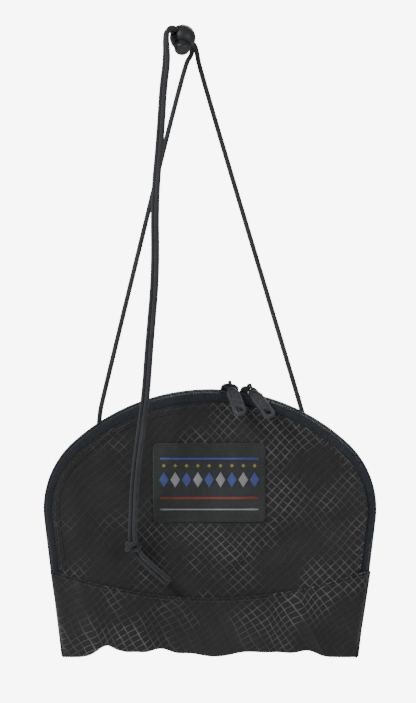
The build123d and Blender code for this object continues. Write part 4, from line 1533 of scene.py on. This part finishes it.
def smooth_route(controls):
    """Even points of the smooth line that these control points give."""
    curve = bpy.data.curves.new("route", "CURVE")
    curve.dimensions = "3D"
    curve.resolution_u = 48
    spline = curve.splines.new("NURBS")
    spline.points.add(len(controls) - 1)
    for point, control in zip(spline.points, controls):
        point.co = (*control, 1)
    spline.order_u = 3
    spline.use_endpoint_u = True
    holder = bpy.data.objects.new("route", curve)
    bpy.context.scene.collection.objects.link(holder)
    bpy.context.view_layer.update()
    line = bpy.data.meshes.new_from_object(holder)
    places = np.array([list(vertex.co) for vertex in line.vertices])
    bpy.data.objects.remove(holder)
    bpy.data.curves.remove(curve)
    bpy.data.meshes.remove(line)
    walked = np.concatenate([[0], np.cumsum(np.linalg.norm(np.diff(places, axis=0), axis=1))])
    stops = np.linspace(0, walked[-1], round(walked[-1] / CORD_STEP))
    even = np.stack([np.interp(stops, walked, places[:, axis]) for axis in range(3)], axis=1)
    return even, float(walked[-1])


def braided_cord():
    """A round braid: strands cross in two directions, over and under each other."""
    made, tree, shader, place = new_material(
        "braided cord", Specular_IOR_Level=0.25, Sheen_Weight=0.2, Sheen_Roughness=0.4
    )
    lay = put(tree, "ShaderNodeUVMap", uv_map="lay").outputs[0]
    axes = put(tree, "ShaderNodeSeparateXYZ", {0: lay})
    along = maths(tree, "MULTIPLY", axes.outputs["X"], 0.75)
    one_way = maths(tree, "ADD", along, axes.outputs["Y"])
    other_way = maths(tree, "SUBTRACT", along, axes.outputs["Y"])
    strand = 2 * CORD_SIDES * CORD_D / 2 * sin(pi / CORD_SIDES) / 8
    braid = use(tree, PLAIN_WEAVE, Across=one_way, Along=other_way, Thread=strand)
    wear = use(tree, HANDLING, Place=place, Broad=0.02, Fine=0.0012)
    tone = maths(tree, "MULTIPLY_ADD", braid.outputs["Height"], 0.8, wear.outputs["Mottle"])
    colour = mixed(
        tree,
        maths(tree, "MULTIPLY", tone, 0.5),
        (0.0080, 0.0090, 0.0110, 1),
        (0.0270, 0.0290, 0.0340, 1),
    )
    roughness = ranged(tree, wear.outputs["Speckle"], 0.0, 1.0, 0.6, 0.78)
    finish_material(tree, shader, colour, roughness, braid.outputs["Height"], 0.14 * MM)
    return made


cord_braid = braided_cord()


def knot_line():
    """An overhand knot's closed line round the knot's middle."""
    line = []
    for turn in np.linspace(0, 2 * pi, 97)[:-1]:
        reach = KNOT_REACH + KNOT_LOBE * cos(3 * turn)
        height = KNOT_HALF_HEIGHT * sin(3 * turn)
        spot = Vector((reach * cos(2 * turn), reach * sin(2 * turn), height))
        line.append(Vector(KNOT_CENTRE) + spot)
    return line


knot = tube("cord_knot", knot_line(), CORD_D / 2 * 0.92, cord_braid, sides=12, closed=True)
sew_in(knot, "pouch", "cord", "cord_end_knot")

for side, label, rise, over, tail in (
    (-1, "left", LEFT_RISE, LEFT_TURN, LEFT_TAIL),
    (1, "right", RIGHT_RISE, RIGHT_TURN, RIGHT_TAIL),
):
    cord_tab(f"cord_anchor_{label}", rise)
    line, length = smooth_route(rise + over + pair_points(side) + tail)
    ends = np.minimum(np.arange(len(line)), len(line) - 1 - np.arange(len(line)))
    swell = np.where(ends == 0, 0.55, np.where(ends == 1, 0.9, np.where(ends < 4, 1.06, 1.0)))
    neck_cord = tube(
        f"neck_cord_{label}_braid", line, CORD_D / 2, cord_braid, CORD_SIDES, swell=swell
    )
    sew_in(neck_cord, "pouch", "cord", f"neck_cord_{label}")


# ---- Cord lock -----------------------------------------------------------------------------
# A moulded nylon ball with a cross hole for both cords. A slotted plunger in its bore grips them
# under a small steel spring. The bore's mouth has a raised lip, and the mould leaves a fine line.
LOCK_BALL_R = 6.9 * MM
LIP_R = 4.75 * MM
LIP_BEAD_R = 0.4 * MM
MOULD_LINE_DEPTH = -3.7 * MM
MOULD_LINE_R = 0.09 * MM
BUTTON_TIP = 10.2 * MM
BUTTON_RING_R = 1.9 * MM
BUTTON_BEAD_R = 0.2 * MM

lock_nylon = nylon("lock nylon", (0.0075, 0.0078, 0.0085, 1), (0.020, 0.021, 0.023, 1), 0.34)
finish_solid("lock_ball", lock_nylon, edge=0.2 * MM)
finish_solid("lock_plunger", lock_nylon, edge=0.1 * MM)

ball_low, ball_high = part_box("lock_ball")
ball_centre = (ball_low + ball_high) / 2
button_axis = -Vector(joints["lock_plunger_press"]["axis"]).normalized()


def ring_on_lock(name, reach, depth, bead, body):
    """A round bead about the plunger's line, this far along it."""
    across = button_axis.orthogonal().normalized()
    other = button_axis.cross(across)
    line = []
    for turn in np.linspace(0, 2 * pi, 73)[:-1]:
        line.append(
            ball_centre + button_axis * depth + (across * cos(turn) + other * sin(turn)) * reach
        )
    bead_piece = tube(name, line, bead, lock_nylon, sides=8, closed=True)
    return sew_in(bead_piece, body, "lock_plastic")


lip_depth = (LOCK_BALL_R**2 - LIP_R**2) ** 0.5
mould_reach = (LOCK_BALL_R**2 - MOULD_LINE_DEPTH**2) ** 0.5
ring_on_lock("lock_ball_lip", LIP_R, lip_depth - 0.1 * MM, LIP_BEAD_R, "pouch")
ring_on_lock("lock_ball_mould_line", mould_reach, MOULD_LINE_DEPTH, MOULD_LINE_R, "pouch")
ring_on_lock("lock_button_ring", BUTTON_RING_R, BUTTON_TIP, BUTTON_BEAD_R, "lock_plunger")


def spring_steel_finish():
    """Drawn steel wire with fine marks along it."""
    made, tree, shader, place = new_material("spring steel", Metallic=1.0)
    wear = use(tree, EDGE_WEAR, Place=place, Scratch=0.6 * MM)
    tone = mixed(tree, wear.outputs["Scratches"], (0.42, 0.42, 0.43, 1), (0.62, 0.62, 0.62, 1))
    roughness = ranged(tree, wear.outputs["Scratches"], 0.0, 1.0, 0.22, 0.38)
    finish_material(tree, shader, tone, roughness, wear.outputs["Scratches"], 0.01 * MM)
    return made


spring_solid = nodes["lock_spring"]
spring_coil = bpy.data.objects.new("lock_spring_coil", spring_solid.data.copy())
spring_coil.matrix_world = spring_solid.matrix_world
spring_coil.data.materials.clear()
spring_coil.data.materials.append(spring_steel_finish())
bpy.context.scene.collection.objects.link(spring_coil)
sew_in(spring_coil, "pouch", "spring_steel", "lock_spring")
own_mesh(spring_coil)


# ---- Studio --------------------------------------------------------------------------------
# A pale floor well below the hanging pouch, an even white surround and three large soft lamps.
# The camera looks at the pouch from straight in front.
VIEW_HEIGHT = 372.6 * MM
VIEW_CENTRE = Vector((9.54 * MM, 0, -155.6 * MM))
CAMERA_DISTANCE = 1.6
FLOOR_RADIUS = 3.2
FLOOR_Z = -0.9
SURROUND_GLOW = 0.42
BACKDROP_GLOW = 7.5

floor_ring = [
    (FLOOR_RADIUS * cos(turn), FLOOR_RADIUS * sin(turn), FLOOR_Z)
    for turn in np.linspace(0, 2 * pi, 65)[:-1]
]


def floor_paint():
    made, tree, shader, place = new_material(
        "floor paint", Emission_Color=(1, 1, 1, 1), Emission_Strength=0.45
    )
    wear = use(tree, HANDLING, Place=place, Broad=0.6, Fine=0.05)
    colour = mixed(tree, wear.outputs["Mottle"], (0.80, 0.80, 0.80, 1), (0.84, 0.84, 0.84, 1))
    roughness = ranged(tree, wear.outputs["Speckle"], 0.0, 1.0, 0.6, 0.7)
    finish_material(tree, shader, colour, roughness, wear.outputs["Speckle"], 0.1 * MM)
    return made


floor = mesh_piece("floor", floor_ring, [tuple(range(len(floor_ring)))], floor_paint(), Vector((0, 0, 1)))

surround = bpy.data.worlds.new("surround")
surround.use_nodes = True
sky = surround.node_tree
backdrop = sky.nodes["Background"]
seen = put(sky, "ShaderNodeLightPath").outputs["Is Camera Ray"]
brightness = maths(sky, "MULTIPLY_ADD", seen, BACKDROP_GLOW, SURROUND_GLOW)
backdrop.inputs["Color"].default_value = (1, 1, 1, 1)
sky.links.new(brightness, backdrop.inputs["Strength"])
bpy.context.scene.world = surround


def soft_lamp(name, place, size, power):
    """A round lamp that faces the pouch."""
    lamp = bpy.data.lights.new(name, "AREA")
    lamp.shape = "DISK"
    lamp.size = size
    lamp.energy = power
    holder = bpy.data.objects.new(name, lamp)
    holder.location = place
    holder.rotation_euler = (VIEW_CENTRE - Vector(place)).to_track_quat("-Z", "Y").to_euler()
    bpy.context.scene.collection.objects.link(holder)


for name, place, size, power in (
    ("key lamp", (-0.95, -0.75, 0.75), 0.55, 24),
    ("fill lamp", (1.1, -0.9, 0.1), 0.9, 7),
    ("back lamp", (0.3, 1.1, 0.7), 0.8, 8),
):
    soft_lamp(name, place, size, power)

camera_data = bpy.data.cameras.new("camera")
camera_data.sensor_width = 36
camera_data.lens = camera_data.sensor_width * CAMERA_DISTANCE / VIEW_HEIGHT
camera = bpy.data.objects.new("camera", camera_data)
camera.location = VIEW_CENTRE + FORWARD * CAMERA_DISTANCE
camera.rotation_euler = (pi / 2, 0, 0)
bpy.context.scene.collection.objects.link(camera)
bpy.context.scene.camera = camera
